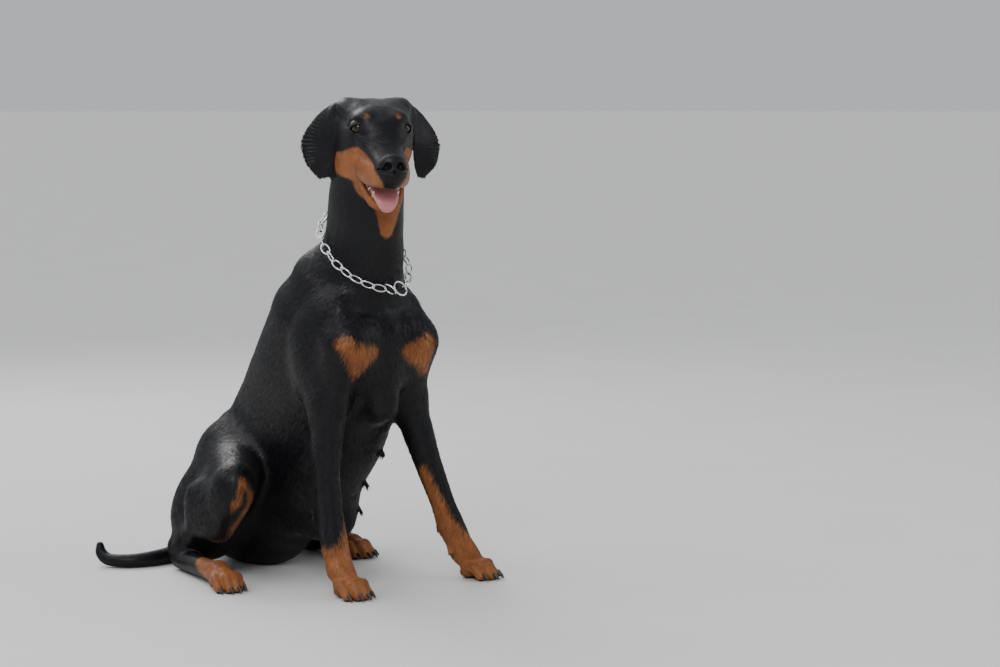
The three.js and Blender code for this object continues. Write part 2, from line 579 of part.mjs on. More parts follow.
function latticeMesh(distance, box, cell) {
  const count = box.getSize(new THREE.Vector3()).divideScalar(cell).ceil();
  const [nx, ny, nz] = [count.x + 1, count.y + 1, count.z + 1];
  const values = new Float32Array(nx * ny * nz).fill(NaN);
  const indexOf = (i, j, k) => (k * ny + j) * nx + i;
  const valueAt = (i, j, k) => {
    const n = indexOf(i, j, k);
    if (Number.isNaN(values[n])) {
      const rim = i === 0 || j === 0 || k === 0 || i === nx - 1 || j === ny - 1 || k === nz - 1;
      const d = distance(box.min.x + i * cell, box.min.y + j * cell, box.min.z + k * cell);
      values[n] = rim ? Math.max(d, cell * 0.3) : d || 1e-6;
    }
    return values[n];
  };
  const points = [];
  const faces = [];
  const seen = new Map();
  const pointOn = (a, b) => {
    const [low, high] = a.n < b.n ? [a, b] : [b, a];
    const key = low.n * values.length + high.n;
    if (!seen.has(key)) {
      const t = Math.min(0.97, Math.max(0.03, low.d / (low.d - high.d)));
      points.push(
        box.min.x + mix(low.i, high.i, t) * cell,
        box.min.y + mix(low.j, high.j, t) * cell,
        box.min.z + mix(low.k, high.k, t) * cell,
      );
      seen.set(key, points.length / 3 - 1);
    }
    return seen.get(key);
  };
  const splitCell = (i, j, k) => {
    for (const tetrahedron of TETRAHEDRA) {
      const corners = tetrahedron.map(([a, b, c]) => {
        return { i: i + a, j: j + b, k: k + c, n: indexOf(i + a, j + b, k + c), d: valueAt(i + a, j + b, k + c) };
      });
      const mask = corners.reduce((sum, corner, bit) => sum + (corner.d < 0 ? 1 << bit : 0), 0);
      for (const triangle of CASES[mask]) faces.push(...triangle.map(([a, b]) => pointOn(corners[a], corners[b])));
    }
  };
  const crosses = (i, j, k) => {
    const first = valueAt(i, j, k) < 0;
    for (let bit = 1; bit < 8; bit++) {
      if (valueAt(i + (bit & 1), j + ((bit >> 1) & 1), k + (bit >> 2)) < 0 !== first) return true;
    }
    return false;
  };
  // Blocks near the surface first, then every neighbour that the surface runs on into
  const nearby = BLOCK * cell * 1.5;
  const half = (BLOCK / 2) * cell;
  const blocks = new Map();
  const visit = (i, j, k) => {
    const within = i >= 0 && j >= 0 && k >= 0 && i < nx - 1 && j < ny - 1 && k < nz - 1;
    if (within && !blocks.has(indexOf(i, j, k))) blocks.set(indexOf(i, j, k), [i, j, k]);
  };
  for (let k = 0; k < nz - 1; k += BLOCK) {
    for (let j = 0; j < ny - 1; j += BLOCK) {
      for (let i = 0; i < nx - 1; i += BLOCK) {
        const middle = distance(
          box.min.x + i * cell + half, box.min.y + j * cell + half, box.min.z + k * cell + half);
        if (Math.abs(middle) < nearby) visit(i, j, k);
      }
    }
  }
  for (const [i0, j0, k0] of blocks.values()) {
    for (let k = k0; k < Math.min(k0 + BLOCK, nz - 1); k++) {
      for (let j = j0; j < Math.min(j0 + BLOCK, ny - 1); j++) {
        for (let i = i0; i < Math.min(i0 + BLOCK, nx - 1); i++) {
          if (!crosses(i, j, k)) continue;
          splitCell(i, j, k);
          for (const [cellAt, start, [a, b, c]] of [[i, i0, AXES[0]], [j, j0, AXES[1]], [k, k0, AXES[2]]]) {
            if (cellAt === start) visit(i0 - a * BLOCK, j0 - b * BLOCK, k0 - c * BLOCK);
            if (cellAt === start + BLOCK - 1) visit(i0 + a * BLOCK, j0 + b * BLOCK, k0 + c * BLOCK);
          }
        }
      }
    }
  }
  return { points: Float64Array.from(points), faces: Uint32Array.from(faces) };
}

// Thinner: folds the edge that changes the form least, again and again. Squared distance to planes is the measure.

class EdgeHeap {
  constructor() {
    this.items = [];
  }
  push(item) {
    const { items } = this;
    let n = items.push(item) - 1;
    while (n > 0) {
      const up = (n - 1) >> 1;
      if (items[up].cost <= items[n].cost) break;
      [items[up], items[n]] = [items[n], items[up]];
      n = up;
    }
  }
  pop() {
    const { items } = this;
    const top = items[0];
    const last = items.pop();
    if (items.length) {
      items[0] = last;
      let n = 0;
      for (;;) {
        let least = n;
        for (const child of [2 * n + 1, 2 * n + 2]) {
          if (child < items.length && items[child].cost < items[least].cost) least = child;
        }
        if (least === n) break;
        [items[least], items[n]] = [items[n], items[least]];
        n = least;
      }
    }
    return top;
  }
}

const KEEP_EVEN = 0.004; // share of an edge's own length in its cost, which keeps the faces even in size

function thin({ points, faces }, target, cell) {
  const vertexCount = points.length / 3;
  const faceCount = faces.length / 3;
  const quadrics = Array.from({ length: vertexCount }, () => new Float64Array(10));
  const around = Array.from({ length: vertexCount }, () => new Set());
  const alive = new Uint8Array(faceCount).fill(1);
  const version = new Uint32Array(vertexCount);
  const [p, q, r, normal] = Array.from({ length: 4 }, () => new THREE.Vector3());
  const faceNormal = (a, b, c) => {
    q.sub(p);
    r.sub(p);
    return normal.crossVectors(q, r);
  };
  for (let f = 0; f < faceCount; f++) {
    const corners = faces.subarray(f * 3, f * 3 + 3);
    p.fromArray(points, corners[0] * 3);
    q.fromArray(points, corners[1] * 3);
    r.fromArray(points, corners[2] * 3);
    const area = faceNormal().length() / 2;
    normal.normalize();
    const d = -normal.dot(p);
    const { x, y, z } = normal;
    const plane = [x * x, x * y, x * z, x * d, y * y, y * z, y * d, z * z, z * d, d * d];
    for (const v of corners) {
      around[v].add(f);
      for (let i = 0; i < 10; i++) quadrics[v][i] += plane[i] * area;
    }
  }
  const errorAt = (m, x, y, z) =>
    m[0] * x * x + 2 * m[1] * x * y + 2 * m[2] * x * z + 2 * m[3] * x + m[4] * y * y + 2 * m[5] * y * z +
    2 * m[6] * y + m[7] * z * z + 2 * m[8] * z + m[9];
  const sum = new Float64Array(10);
  // The best place for the fold of an edge, and what it costs
  const foldOf = (a, b) => {
    for (let i = 0; i < 10; i++) sum[i] = quadrics[a][i] + quadrics[b][i];
    const [ax, ay, az] = points.subarray(a * 3, a * 3 + 3);
    const [bx, by, bz] = points.subarray(b * 3, b * 3 + 3);
    const square = (ax - bx) ** 2 + (ay - by) ** 2 + (az - bz) ** 2;
    const weight = (sum[0] + sum[4] + sum[7]) * 0.02 + 1e-9;
    const [mx, my, mz] = [(ax + bx) / 2, (ay + by) / 2, (az + bz) / 2];
    const [a11, a12, a13, a22, a23, a33] = [sum[0] + weight, sum[1], sum[2], sum[4] + weight, sum[5], sum[7] + weight];
    const [b1, b2, b3] = [weight * mx - sum[3], weight * my - sum[6], weight * mz - sum[8]];
    const [c11, c12, c13] = [a22 * a33 - a23 * a23, a13 * a23 - a12 * a33, a12 * a23 - a13 * a22];
    const det = a11 * c11 + a12 * c12 + a13 * c13;
    const [c22, c23, c33] = [a11 * a33 - a13 * a13, a12 * a13 - a11 * a23, a11 * a22 - a12 * a12];
    const x = (c11 * b1 + c12 * b2 + c13 * b3) / det;
    const y = (c12 * b1 + c22 * b2 + c23 * b3) / det;
    const z = (c13 * b1 + c23 * b2 + c33 * b3) / det;
    const cost = Math.max(errorAt(sum, x, y, z), 0) + KEEP_EVEN * square * (sum[0] + sum[4] + sum[7]) * 0.01;
    return { a, b, x, y, z, cost, stampA: version[a], stampB: version[b] };
  };
  const neighbours = (v) => {
    const found = new Set();
    for (const f of around[v]) for (let i = 0; i < 3; i++) found.add(faces[f * 3 + i]);
    found.delete(v);
    return found;
  };
  const heap = new EdgeHeap();
  for (let v = 0; v < vertexCount; v++) for (const other of neighbours(v)) if (v < other) heap.push(foldOf(v, other));
  // A fold is refused where it would turn a face over or make a needle; slivers of the lattice don't count
  const sliver = 0.02 * cell * cell;
  const turnsOver = (v, other, x, y, z) => {
    for (const f of around[v]) {
      if (around[other].has(f)) continue;
      const corners = faces.subarray(f * 3, f * 3 + 3);
      const n = corners.indexOf(v);
      p.fromArray(points, v * 3);
      q.fromArray(points, corners[(n + 1) % 3] * 3);
      r.fromArray(points, corners[(n + 2) % 3] * 3);
      const qx = q.x;
      const qy = q.y;
      const qz = q.z;
      const rx = r.x;
      const ry = r.y;
      const rz = r.z;
      faceNormal();
      const nx = normal.x;
      const ny = normal.y;
      const nz = normal.z;
      const before = norm(nx, ny, nz);
      if (before < sliver) continue;
      p.set(x, y, z);
      q.set(qx, qy, qz);
      r.set(rx, ry, rz);
      const longest = Math.max(p.distanceToSquared(q), p.distanceToSquared(r), q.distanceToSquared(r));
      faceNormal();
      const after = normal.length();
      const cosine = (nx * normal.x + ny * normal.y + nz * normal.z) / (before * after || 1e-12);
      if (cosine < 0.2 || after < longest * 0.05) return true;
    }
    return false;
  };
  let left = faceCount;
  while (left > target && heap.items.length) {
    const edge = heap.pop();
    const { a, b, x, y, z } = edge;
    if (edge.stampA !== version[a] || edge.stampB !== version[b]) continue;
    const near = neighbours(b);
    let shared = 0;
    for (const v of neighbours(a)) if (near.has(v)) shared++;
    if (shared !== 2 || turnsOver(a, b, x, y, z) || turnsOver(b, a, x, y, z)) continue;
    points.set([x, y, z], a * 3);
    for (let i = 0; i < 10; i++) quadrics[a][i] += quadrics[b][i];
    for (const f of around[b]) {
      if (around[a].has(f)) {
        alive[f] = 0;
        left--;
        for (let i = 0; i < 3; i++) if (faces[f * 3 + i] !== b) around[faces[f * 3 + i]].delete(f);
      } else {
        for (let i = 0; i < 3; i++) if (faces[f * 3 + i] === b) faces[f * 3 + i] = a;
        around[a].add(f);
      }
    }
    around[b].clear();
    version[b]++;
    version[a]++;
    for (const v of neighbours(a)) heap.push(foldOf(a, v));
  }
  const kept = [];
  for (let f = 0; f < faceCount; f++) if (alive[f]) kept.push(...faces.subarray(f * 3, f * 3 + 3));
  return { points, faces: Uint32Array.from(kept) };
}

// Closed bodies for joining and cutting

function bodyOf({ points, faces }) {
  const used = new Map();
  const corners = [];
  const triVerts = faces.map((v) => {
    if (!used.has(v)) {
      used.set(v, corners.length / 3);
      corners.push(points[v * 3], points[v * 3 + 1], points[v * 3 + 2]);
    }
    return used.get(v);
  });
  return new wasm.Manifold(new wasm.Mesh({ numProp: 3, vertProperties: Float32Array.from(corners), triVerts }));
}

function bodyOfGeometry(geometry, frame) {
  const plain = geometry.clone().applyMatrix4(frame);
  plain.deleteAttribute("normal");
  plain.deleteAttribute("uv");
  const merged = mergeVertices(plain, 1e-4);
  return bodyOf({ points: merged.attributes.position.array, faces: Uint32Array.from(merged.index.array) });
}

// A block whose bottom face lies at a place and whose height runs along a direction
function block(place, upward, front, width, depth, height) {
  const z = upward.clone().normalize();
  const x = new THREE.Vector3().crossVectors(z, front).normalize();
  const y = new THREE.Vector3().crossVectors(z, x);
  const frame = new THREE.Matrix4().makeBasis(x, y, z).setPosition(place);
  const shape = (gap) => bodyOfGeometry(
    new THREE.BoxGeometry(width + 2 * gap, depth + 2 * gap, height + 2 * gap),
    frame.clone().multiply(new THREE.Matrix4().makeTranslation(0, 0, height / 2)));
  return { exact: shape(0), grown: shape(PART_GAP) };
}

const LARGE = 2400;
const above = (place, upward) => block(place, upward, at(0.3, 1, 0.1), LARGE, LARGE, LARGE);

const flesh = wholeFlesh();
const aboveFloor = above(at(0, 0, 0), at(0, 0, 1)).exact;
const largest = (body) => body.decompose().sort((a, b) => b.volume() - a.volume())[0];

// Flesh between two corners of a box, thinned to a number of faces
function fleshIn(distance, low, high, cell, faceCount) {
  const box = new THREE.Box3().setFromPoints([low, high]);
  return bodyOf(thin(latticeMesh(distance, box, cell), faceCount, cell));
}
const distanceOf = (field) => (x, y, z) => field.distance(x, y, z);
const wholeDistance = distanceOf(flesh);

const headPoint = (side, along, up) => inHead(side, along, up).applyMatrix4(headFrame);
const headWay = (side, along, up) => inHead(side, along, up).applyMatrix4(headTurn);
const headBox = (field, pad) => {
  const box = new THREE.Box3();
  for (const side of [-field.side, field.side]) {
    for (const along of field.along) for (const up of field.up) box.expandByPoint(headPoint(side, along, up));
  }
  return box.expandByScalar(pad);
};

// Where the nodes part

const neckCut = above(at(0, -60, 572), at(0, 0.6, 0.8));
const headCut = above(at(-6, 26, 756), at(0, 0.5, 0.87));
const mouthLine = { along: 0.974, up: -0.226 }; // half-way between the two lips
const jawCut = block(
  headPoint(0, 62 + 110 * mouthLine.along, -86 + 110 * mouthLine.up),
  headWay(0, mouthLine.up, -mouthLine.along), headWay(0, mouthLine.along, mouthLine.up), 150, 220, 90);
const earCut = (hand) => block(
  headPoint(hand * 61, -25, -30), headWay(hand, 0, 0.03), headWay(0, 1, 0), 150, 170, 120);
const tailRoot = block(at(-14, -444, 98), at(-0.1, -0.66, -0.75), at(1, 0, 0), 100, 110, 130);
const tailOnFloor = block(at(-240, -470, -20), at(0, 0, 1), at(0.1, 1, 0), 350, 170, 90);
const tailCut = { exact: tailRoot.exact.add(tailOnFloor.exact), grown: tailRoot.grown.add(tailOnFloor.grown) };

const aheadOf = (turn) => at(0, 1, 0).applyAxisAngle(new THREE.Vector3(0, 0, 1), degrees(turn));
const pawCut = (leg, up) => block(leg.pastern.clone().setZ(up), at(0, 0, -1), aheadOf(leg.toeing), 96, 150, 120);
const hindPawCut = (leg) => {
  const start = leg.pastern.clone().lerp(leg.paw, 0.05).setZ(30);
  return block(start, aheadOf(leg.toeing), at(0, 0, 1), 110, 110, 150);
};
const legCut = (leg) => {
  const middle = leg.elbow.clone().add(at(leg.hand * 44, 20, -16));
  return block(middle, at(leg.hand * 0.12, 0.1, -1), at(0, 1, 0), 2 * 78, 2 * 92, 420);
};
const thighCut = (leg) => block(
  at(leg.hip.x + leg.hand * 6, -leg.hip.y + 14, 96), at(leg.hand, 0, 0.12), at(0, 1, -0.16), 330, 400, 300);

const EYE_STEPS = [16, 10];
const eyeBody = (hand, radius) => bodyOfGeometry(
  new THREE.SphereGeometry(radius, ...EYE_STEPS).rotateX(Math.PI / 2),
  new THREE.Matrix4().setPosition(headPoint(hand * EYE.side, EYE.along, EYE.up)));

// Bodies of the flesh, each cut in turn; what an earlier node has taken is left out of the later ones

const bodies = new Map();
const taken = [];
function claim(name, body, cuts, takenHere) {
  let cut = body.intersect(aboveFloor);
  for (const { exact } of cuts) cut = cut.intersect(exact);
  for (const { grown } of taken) cut = cut.subtract(grown);
  bodies.set(name, largest(cut));
  if (takenHere) taken.push(takenHere);
}

const headRegion = headBox({ side: 78, along: [-100, 190], up: [-100, 60] }, 4);
const jawRegion = headBox({ side: 66, along: [40, 180], up: [-175, -70] }, 4);
const jawMesh = fleshIn(wholeDistance, jawRegion.min, jawRegion.max, 2.6, 1500);
const headMesh = fleshIn(wholeDistance, headRegion.min, headRegion.max, 2.4, 4000);
claim("jaw", jawMesh, [jawCut], jawCut);
for (const hand of [-1, 1]) {
  const box = new THREE.Box3();
  for (const side of [55, 140]) {
    for (const along of [-75, 25]) for (const up of [-125, 50]) box.expandByPoint(headPoint(hand * side, along, up));
  }
  const mesh = fleshIn(wholeDistance, box.min, box.max, 2.4, 1900);
  claim(hand < 0 ? "ear_right" : "ear_left", mesh, [earCut(hand)], earCut(hand));
}
claim("head", headMesh, [headCut], headCut);

const sides = [["right", FORELEG.right, HINDLEG.right], ["left", FORELEG.left, HINDLEG.left]];
const boxRound = (places, pad) => new THREE.Box3().setFromPoints(places).expandByScalar(pad);
for (const [name, foreleg, hindleg] of sides) {
  const forePaw = boxRound([foreleg.paw, foreleg.pastern.clone().add(at(0, 20, 30))], 62);
  claim(`forepaw_${name}`, fleshIn(wholeDistance, forePaw.min, forePaw.max, 2.8, 1150), [pawCut(foreleg, 56)],
    pawCut(foreleg, 56));
  const hindPaw = boxRound([hindleg.paw, hindleg.pastern], 60);
  claim(`hindpaw_${name}`, fleshIn(wholeDistance, hindPaw.min, hindPaw.max, 2.8, 1050), [hindPawCut(hindleg)],
    hindPawCut(hindleg));
  const fore = boxRound([foreleg.pastern.clone().setZ(30), foreleg.elbow.clone().add(at(0, -10, 10))], 66);
  claim(`foreleg_${name}`, fleshIn(wholeDistance, fore.min, fore.max, 5, 900), [legCut(foreleg)], legCut(foreleg));
  const hind = boxRound([hindleg.hip, hindleg.knee, hindleg.hock.clone().setZ(60), hindleg.pastern], 130);
  claim(`hindleg_${name}`, fleshIn(wholeDistance, hind.min, hind.max, 7, 1200), [thighCut(hindleg)], thighCut(hindleg));
}
const tailBox = boxRound(TAIL.map(({ place }) => place), 44);
claim("tail", fleshIn(wholeDistance, tailBox.min, tailBox.max, 4.5, 700), [tailCut], tailCut);
claim("neck", fleshIn(wholeDistance, at(-150, -220, 430), at(150, 130, 880), 6.5, 1100), [neckCut], neckCut);
claim("torso", fleshIn(wholeDistance, at(-190, -520, -20), at(190, 120, 720), 8.5, 2600), [], null);

// Teeth, tongue and eyes lie in hollows of the head and the jaw

function settle(name, distance, region, cell, faceCount) {
  const body = fleshIn(distance, region.min, region.max, cell, faceCount);
  const room = fleshIn((x, y, z) => distance(x, y, z) - PART_GAP, region.min, region.max, cell, faceCount);
  return { name, body, room };
}
const lowerRow = placed(lowerTeeth(new Field()), headFrame, inHead(0, 90, -100), 120);
const upperRow = placed(upperTeeth(new Field()), headFrame, inHead(0, 90, -80), 120);
const tongueLump = placed(tongueFlesh(new Field()), headFrame, inHead(0, 90, -90), 120);
const mouthRegion = headBox({ side: 30, along: [40, 185], up: [-165, -50] }, 4);
const teeth = [
  settle("teeth_lower", lowerRow.distance, mouthRegion, 1.5, 560),
  settle("teeth_upper", upperRow.distance, mouthRegion, 1.5, 560),
];
const cutFrom = (name, room) => bodies.set(name, largest(bodies.get(name).subtract(room)));
for (const { name, body, room } of teeth) {
  for (const other of ["jaw", "head"]) cutFrom(other, room);
  bodies.set(name, largest(body.subtract(bodies.get("jaw")).subtract(bodies.get("head"))));
}
const TONGUE_ROOM = 1.2;
const clearOfMouth = (x, y, z) => Math.max(
  tongueLump.distance(x, y, z),
  TONGUE_ROOM - wholeDistance(x, y, z),
  TONGUE_ROOM - lowerRow.distance(x, y, z),
  TONGUE_ROOM - upperRow.distance(x, y, z),
);
let tongue = fleshIn(clearOfMouth, mouthRegion.min, mouthRegion.max, 2.2, 420);
for (const other of ["jaw", "head", "teeth_lower", "teeth_upper"]) tongue = tongue.subtract(bodies.get(other));
bodies.set("tongue", largest(tongue));
for (const hand of [-1, 1]) {
  cutFrom("head", eyeBody(hand, EYE_RADIUS + PART_GAP));
  bodies.set(hand < 0 ? "eye_right" : "eye_left", eyeBody(hand, EYE_RADIUS));
}

// Collar: oval links that lie by turns at one slant and the other, and two rings side by side at the front

const COLLAR_MIDDLE = at(-1, -42, 612);
const collarAcross = at(1, 0, 0.06).normalize();
const collarAhead = at(0, 0.777, -0.63).normalize();
const COLLAR_STEPS = 240;
const RINGS_AT = 0.055; // share of the loop from its front to between the rings
const liftAt = (share) => CHAIN_LIFT + RING_LIFT * Math.exp(-(((share - RINGS_AT) / 0.12) ** 2));

function collarLine() {
  const spots = [];
  for (let step = 0; step < COLLAR_STEPS; step++) {
    const turn = (step / COLLAR_STEPS) * 2 * Math.PI;
    const way = collarAhead.clone().multiplyScalar(Math.cos(turn)).addScaledVector(collarAcross, Math.sin(turn));
    let [near, far] = [30, 190];
    for (let i = 0; i < 24; i++) {
      const middle = (near + far) / 2;
      const p = COLLAR_MIDDLE.clone().addScaledVector(way, middle);
      if (flesh.distance(p.x, p.y, p.z) < liftAt(step / COLLAR_STEPS)) near = middle;
      else far = middle;
    }
    spots.push(COLLAR_MIDDLE.clone().addScaledVector(way, near));
  }
  return new THREE.CatmullRomCurve3(spots, true, "centripetal");
}

function wireLoop(length, width, wire, stepsRound, stepsAlong) {
  const [halfStraight, radius] = [(length - width) / 2, (width - wire) / 2];
  const path = [];
  const bend = stepsAlong / 2;
  for (const end of [1, -1]) {
    for (let i = 0; i < bend; i++) {
      const turn = -Math.PI / 2 + (i / (bend - 1)) * Math.PI;
      path.push(new THREE.Vector3(
        end * (halfStraight + radius * Math.cos(turn)), end * radius * Math.sin(turn), 0));
    }
  }
  const joints = path.filter((p, i) => p.distanceTo(path[(i + 1) % path.length]) > 1e-3);
  const positions = [];
  const index = [];
  const count = joints.length;
  joints.forEach((joint, i) => {
    const [before, after] = [joints[(i + count - 1) % count], joints[(i + 1) % count]];
    const along = after.clone().sub(before).normalize();
    const out = new THREE.Vector3(along.y, -along.x, 0);
    for (let s = 0; s < stepsRound; s++) {
      const turn = ((s + 0.5) / stepsRound) * 2 * Math.PI;
      const p = joint.clone().addScaledVector(out, (wire / 2) * Math.cos(turn));
      positions.push(p.x, p.y, (wire / 2) * Math.sin(turn));
      const [a, b] = [i * stepsRound + s, i * stepsRound + ((s + 1) % stepsRound)];
      const [c, d] = [((i + 1) % count) * stepsRound + s, ((i + 1) % count) * stepsRound + ((s + 1) % stepsRound)];
      index.push(a, c, b, b, c, d);
    }
  });
  const geometry = new THREE.BufferGeometry();
  geometry.setAttribute("position", new THREE.Float32BufferAttribute(positions, 3));
  geometry.setIndex(index);
  return geometry;
}

const RING_TURN = 0.035; // share of the loop from its front to the first ring
function collarParts() {
  const line = collarLine();
  const length = line.getLength();
  const linkPitch = LINK_LENGTH - 2 * CHAIN_WIRE - 0.6;
  const ringPitch = (LINK_LENGTH - CHAIN_WIRE) / 2 + (RING_DIAMETER - RING_WIRE) / 2 - (CHAIN_WIRE + RING_WIRE) / 2 - 1.2;
  const pairPitch = RING_DIAMETER - 2 * RING_WIRE - 1.2;
  const links = Math.ceil((length - 2 * ringPitch - pairPitch) / linkPitch) + 1;
  const pitches = [pairPitch, ringPitch, ...Array(links - 1).fill(linkPitch), ringPitch];
  const slack = length / pitches.reduce((sum, pitch) => sum + pitch, 0);
  const parts = [];
  let run = RING_TURN * length;
  pitches.forEach((pitch, n) => {
    const share = (run / length) % 1;
    const place = line.getPointAt(share);
    const along = line.getTangentAt(share);
    const step = 2;
    const { x, y, z } = place;
    const outward = new THREE.Vector3(
      flesh.distance(x + step, y, z) - flesh.distance(x - step, y, z),
      flesh.distance(x, y + step, z) - flesh.distance(x, y - step, z),
      flesh.distance(x, y, z + step) - flesh.distance(x, y, z - step)).normalize();
    const slant = degrees(n % 2 ? 45 : -45);
    const face = outward.clone().applyAxisAngle(along, slant);
    const sideways = new THREE.Vector3().crossVectors(face, along).normalize();
    face.crossVectors(along, sideways);
    const frame = new THREE.Matrix4().makeBasis(along, sideways, face).setPosition(place);
    const ring = n < 2;
    const geometry = ring
      ? wireLoop(RING_DIAMETER, RING_DIAMETER, RING_WIRE, 6, 18)
      : wireLoop(LINK_LENGTH, LINK_WIDTH, CHAIN_WIRE, 5, 10);
    const name = ring ? `collar_ring_${n + 1}` : `collar_link_${String(n - 1).padStart(2, "0")}`;
    parts.push([name, bodyOfGeometry(geometry, frame)]);
    run += pitch * slack;
  });
  return parts;
}
const collar = collarParts();

// Colours of the slots

const paint = (name, color, roughness, metalness = 0) => new THREE.MeshStandardMaterial({ name, color, roughness, metalness });
const materials = {
  blackCoat: paint("black_coat", 0x17171a, 0.45),
  tanCoat: paint("tan_coat", 0x8a4a22, 0.6),
  eye: paint("eye", 0x2a150c, 0.1),
  tongue: paint("tongue", 0xc96f78, 0.45),
  tooth: paint("tooth", 0xeee6d2, 0.3),
  steel: paint("steel", 0xb9bcc0, 0.25, 1),
};
const materialOf = (name) => {
  if (name.startsWith("collar")) return materials.steel;
  if (name.startsWith("eye")) return materials.eye;
  if (name.startsWith("teeth")) return materials.tooth;
  if (name === "tongue") return materials.tongue;
  return /paw|jaw/.test(name) ? materials.tanCoat : materials.blackCoat;
};

function meshOf(name, body) {
  const { vertProperties, triVerts, numProp } = body.getMesh();
  const geometry = new THREE.BufferGeometry();
  const positions = new Float32Array((vertProperties.length / numProp) * 3);
  for (let v = 0; v < positions.length / 3; v++) {
    for (let i = 0; i < 3; i++) positions[v * 3 + i] = vertProperties[v * numProp + i];
  }
  geometry.setAttribute("position", new THREE.BufferAttribute(positions, 3));
  geometry.setIndex(new THREE.BufferAttribute(Uint32Array.from(triVerts), 1));
  geometry.computeVertexNormals();
  const mesh = new THREE.Mesh(geometry, materialOf(name));
  mesh.name = name;
  return mesh;
}

const dog = new THREE.Group();
dog.name = "doberman_pinscher_sitting";
for (const [name, body] of [...bodies, ...collar]) dog.add(meshOf(name, body));

// The origin is the middle of the footprint, on the floor
const footprint = new THREE.Box3().setFromObject(dog);
const middle = footprint.getCenter(new THREE.Vector3());
dog.children.forEach((mesh) => mesh.geometry.translate(-middle.x, -middle.y, -footprint.min.z));

export default dog;
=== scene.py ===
"""Looks of the sitting doberman: skin, coat, eyes, mouth, claws, chain collar, floor, light and camera."""
import logging
import math
from dataclasses import dataclass, field as data_field
from enum import Enum
from typing import Callable, Iterable, Sequence

import bpy
import numpy as np
from mathutils import Matrix, Vector
from mathutils.bvhtree import BVHTree


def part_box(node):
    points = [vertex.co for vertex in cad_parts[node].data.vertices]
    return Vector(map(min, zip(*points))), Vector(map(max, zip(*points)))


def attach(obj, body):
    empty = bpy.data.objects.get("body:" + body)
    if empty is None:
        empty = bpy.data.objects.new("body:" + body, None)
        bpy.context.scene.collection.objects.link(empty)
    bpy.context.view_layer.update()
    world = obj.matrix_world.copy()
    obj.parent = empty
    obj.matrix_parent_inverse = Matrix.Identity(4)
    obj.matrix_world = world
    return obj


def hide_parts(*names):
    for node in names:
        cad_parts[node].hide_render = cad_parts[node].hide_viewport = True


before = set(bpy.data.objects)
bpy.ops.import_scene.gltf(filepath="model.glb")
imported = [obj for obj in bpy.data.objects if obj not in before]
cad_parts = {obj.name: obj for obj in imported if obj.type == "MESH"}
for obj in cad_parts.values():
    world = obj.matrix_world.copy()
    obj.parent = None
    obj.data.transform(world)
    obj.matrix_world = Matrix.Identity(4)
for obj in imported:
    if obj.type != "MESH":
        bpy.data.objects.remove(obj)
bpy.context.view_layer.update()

LOG = logging.getLogger("doberman")
Array = np.ndarray

# Lengths of the anatomy are in millimetres in the dog's own frame, as in the CAD source
MM = 0.001
CHEST_HALF_WIDTH = 112.0
HIP_HALF_WIDTH = 96.0
PELVIS_TURN = 8.0
HEAD_TURN = 28.0
HEAD_NOD = 13.0
JAW_OPEN = 32.0
ELBOW_UP = 330.0
EYE_RADIUS = 12.5
EAR_THICKNESS = 5.6
UPWARD = np.array([0.0, 0.0, 1.0])


def at(side: float, ahead: float, up: float) -> Array:
    """A place on the dog.

    Args:
        side: millimetres to the dog's left.
        ahead: millimetres ahead of the elbows.
        up: millimetres above the floor.

    Returns:
        The place as x, y, z in millimetres.
    """
    return np.array([side, -ahead, up], float)


def turn_matrix(axis: str, angle: float) -> Array:
    """A rotation matrix about one axis.

    Args:
        axis: "X", "Y" or "Z".
        angle: degrees.

    Returns:
        The 3 by 3 matrix.
    """
    return np.array(Matrix.Rotation(math.radians(angle), 3, axis))


def norm(v: Array) -> Array:
    """Length of each row of an array of vectors."""
    return np.sqrt(np.einsum("ij,ij->i", v, v))


def unit(v: Array) -> Array:
    """A single vector at length one."""
    return v / np.linalg.norm(v)


def join(a: Array, b: Array, blend: float) -> Array:
    """Smooth union of two distances."""
    h = np.maximum(blend - np.abs(a - b), 0.0) / blend
    return np.minimum(a, b) - h * h * blend * 0.25


def carve(a: Array, b: Array, blend: float) -> Array:
    """Smooth difference: what has distance a without what is carved. b is the carver's distance."""
    return -join(-a, b, blend)


# Lumps of flesh


FAR = 62.0  # beyond every blend: lumps farther than this from a point have no say near the surface


class Lump:
    """A piece of flesh with a ball round it and a signed distance."""

    centre: Array
    reach: float

    def distance(self, p: Array) -> Array:
        """Signed distance of each row of p, negative inside."""
        raise NotImplementedError


class Taper(Lump):
    """A muscle or bone that tapers from one ball to another."""

    def __init__(self, a: Array, b: Array, radius_a: float, radius_b: float) -> None:
        self.a, self.b, self.radius_a, self.radius_b = a, b, radius_a, radius_b
        self.centre = (a + b) / 2
        self.reach = float(np.linalg.norm(b - a)) / 2 + max(radius_a, radius_b)

    def distance(self, p: Array) -> Array:
        along = self.b - self.a
        square = float(along @ along) or 1.0
        t = np.clip((p - self.a) @ along / square, 0, 1)
        return norm(p - self.a - t[:, None] * along) - (self.radius_a + (self.radius_b - self.radius_a) * t)


class Oval(Lump):
    """An ellipsoid turned by degrees about X, Y and Z."""

    def __init__(self, centre: Array, radii: Sequence[float], turn: Sequence[float] = (0, 0, 0)) -> None:
        self.centre = centre
        self.radii = np.array(radii, float)
        self.reach = float(self.radii.max())
        self.basis = turn_matrix("Z", turn[2]) @ turn_matrix("Y", turn[1]) @ turn_matrix("X", turn[0])

    def distance(self, p: Array) -> Array:
        q = (p - self.centre) @ self.basis
        scaled = norm(q / self.radii)
        slope = norm(q / self.radii**2)
        return np.where(slope < 1e-9, -self.radii.min(), scaled * (scaled - 1) / np.maximum(slope, 1e-9))


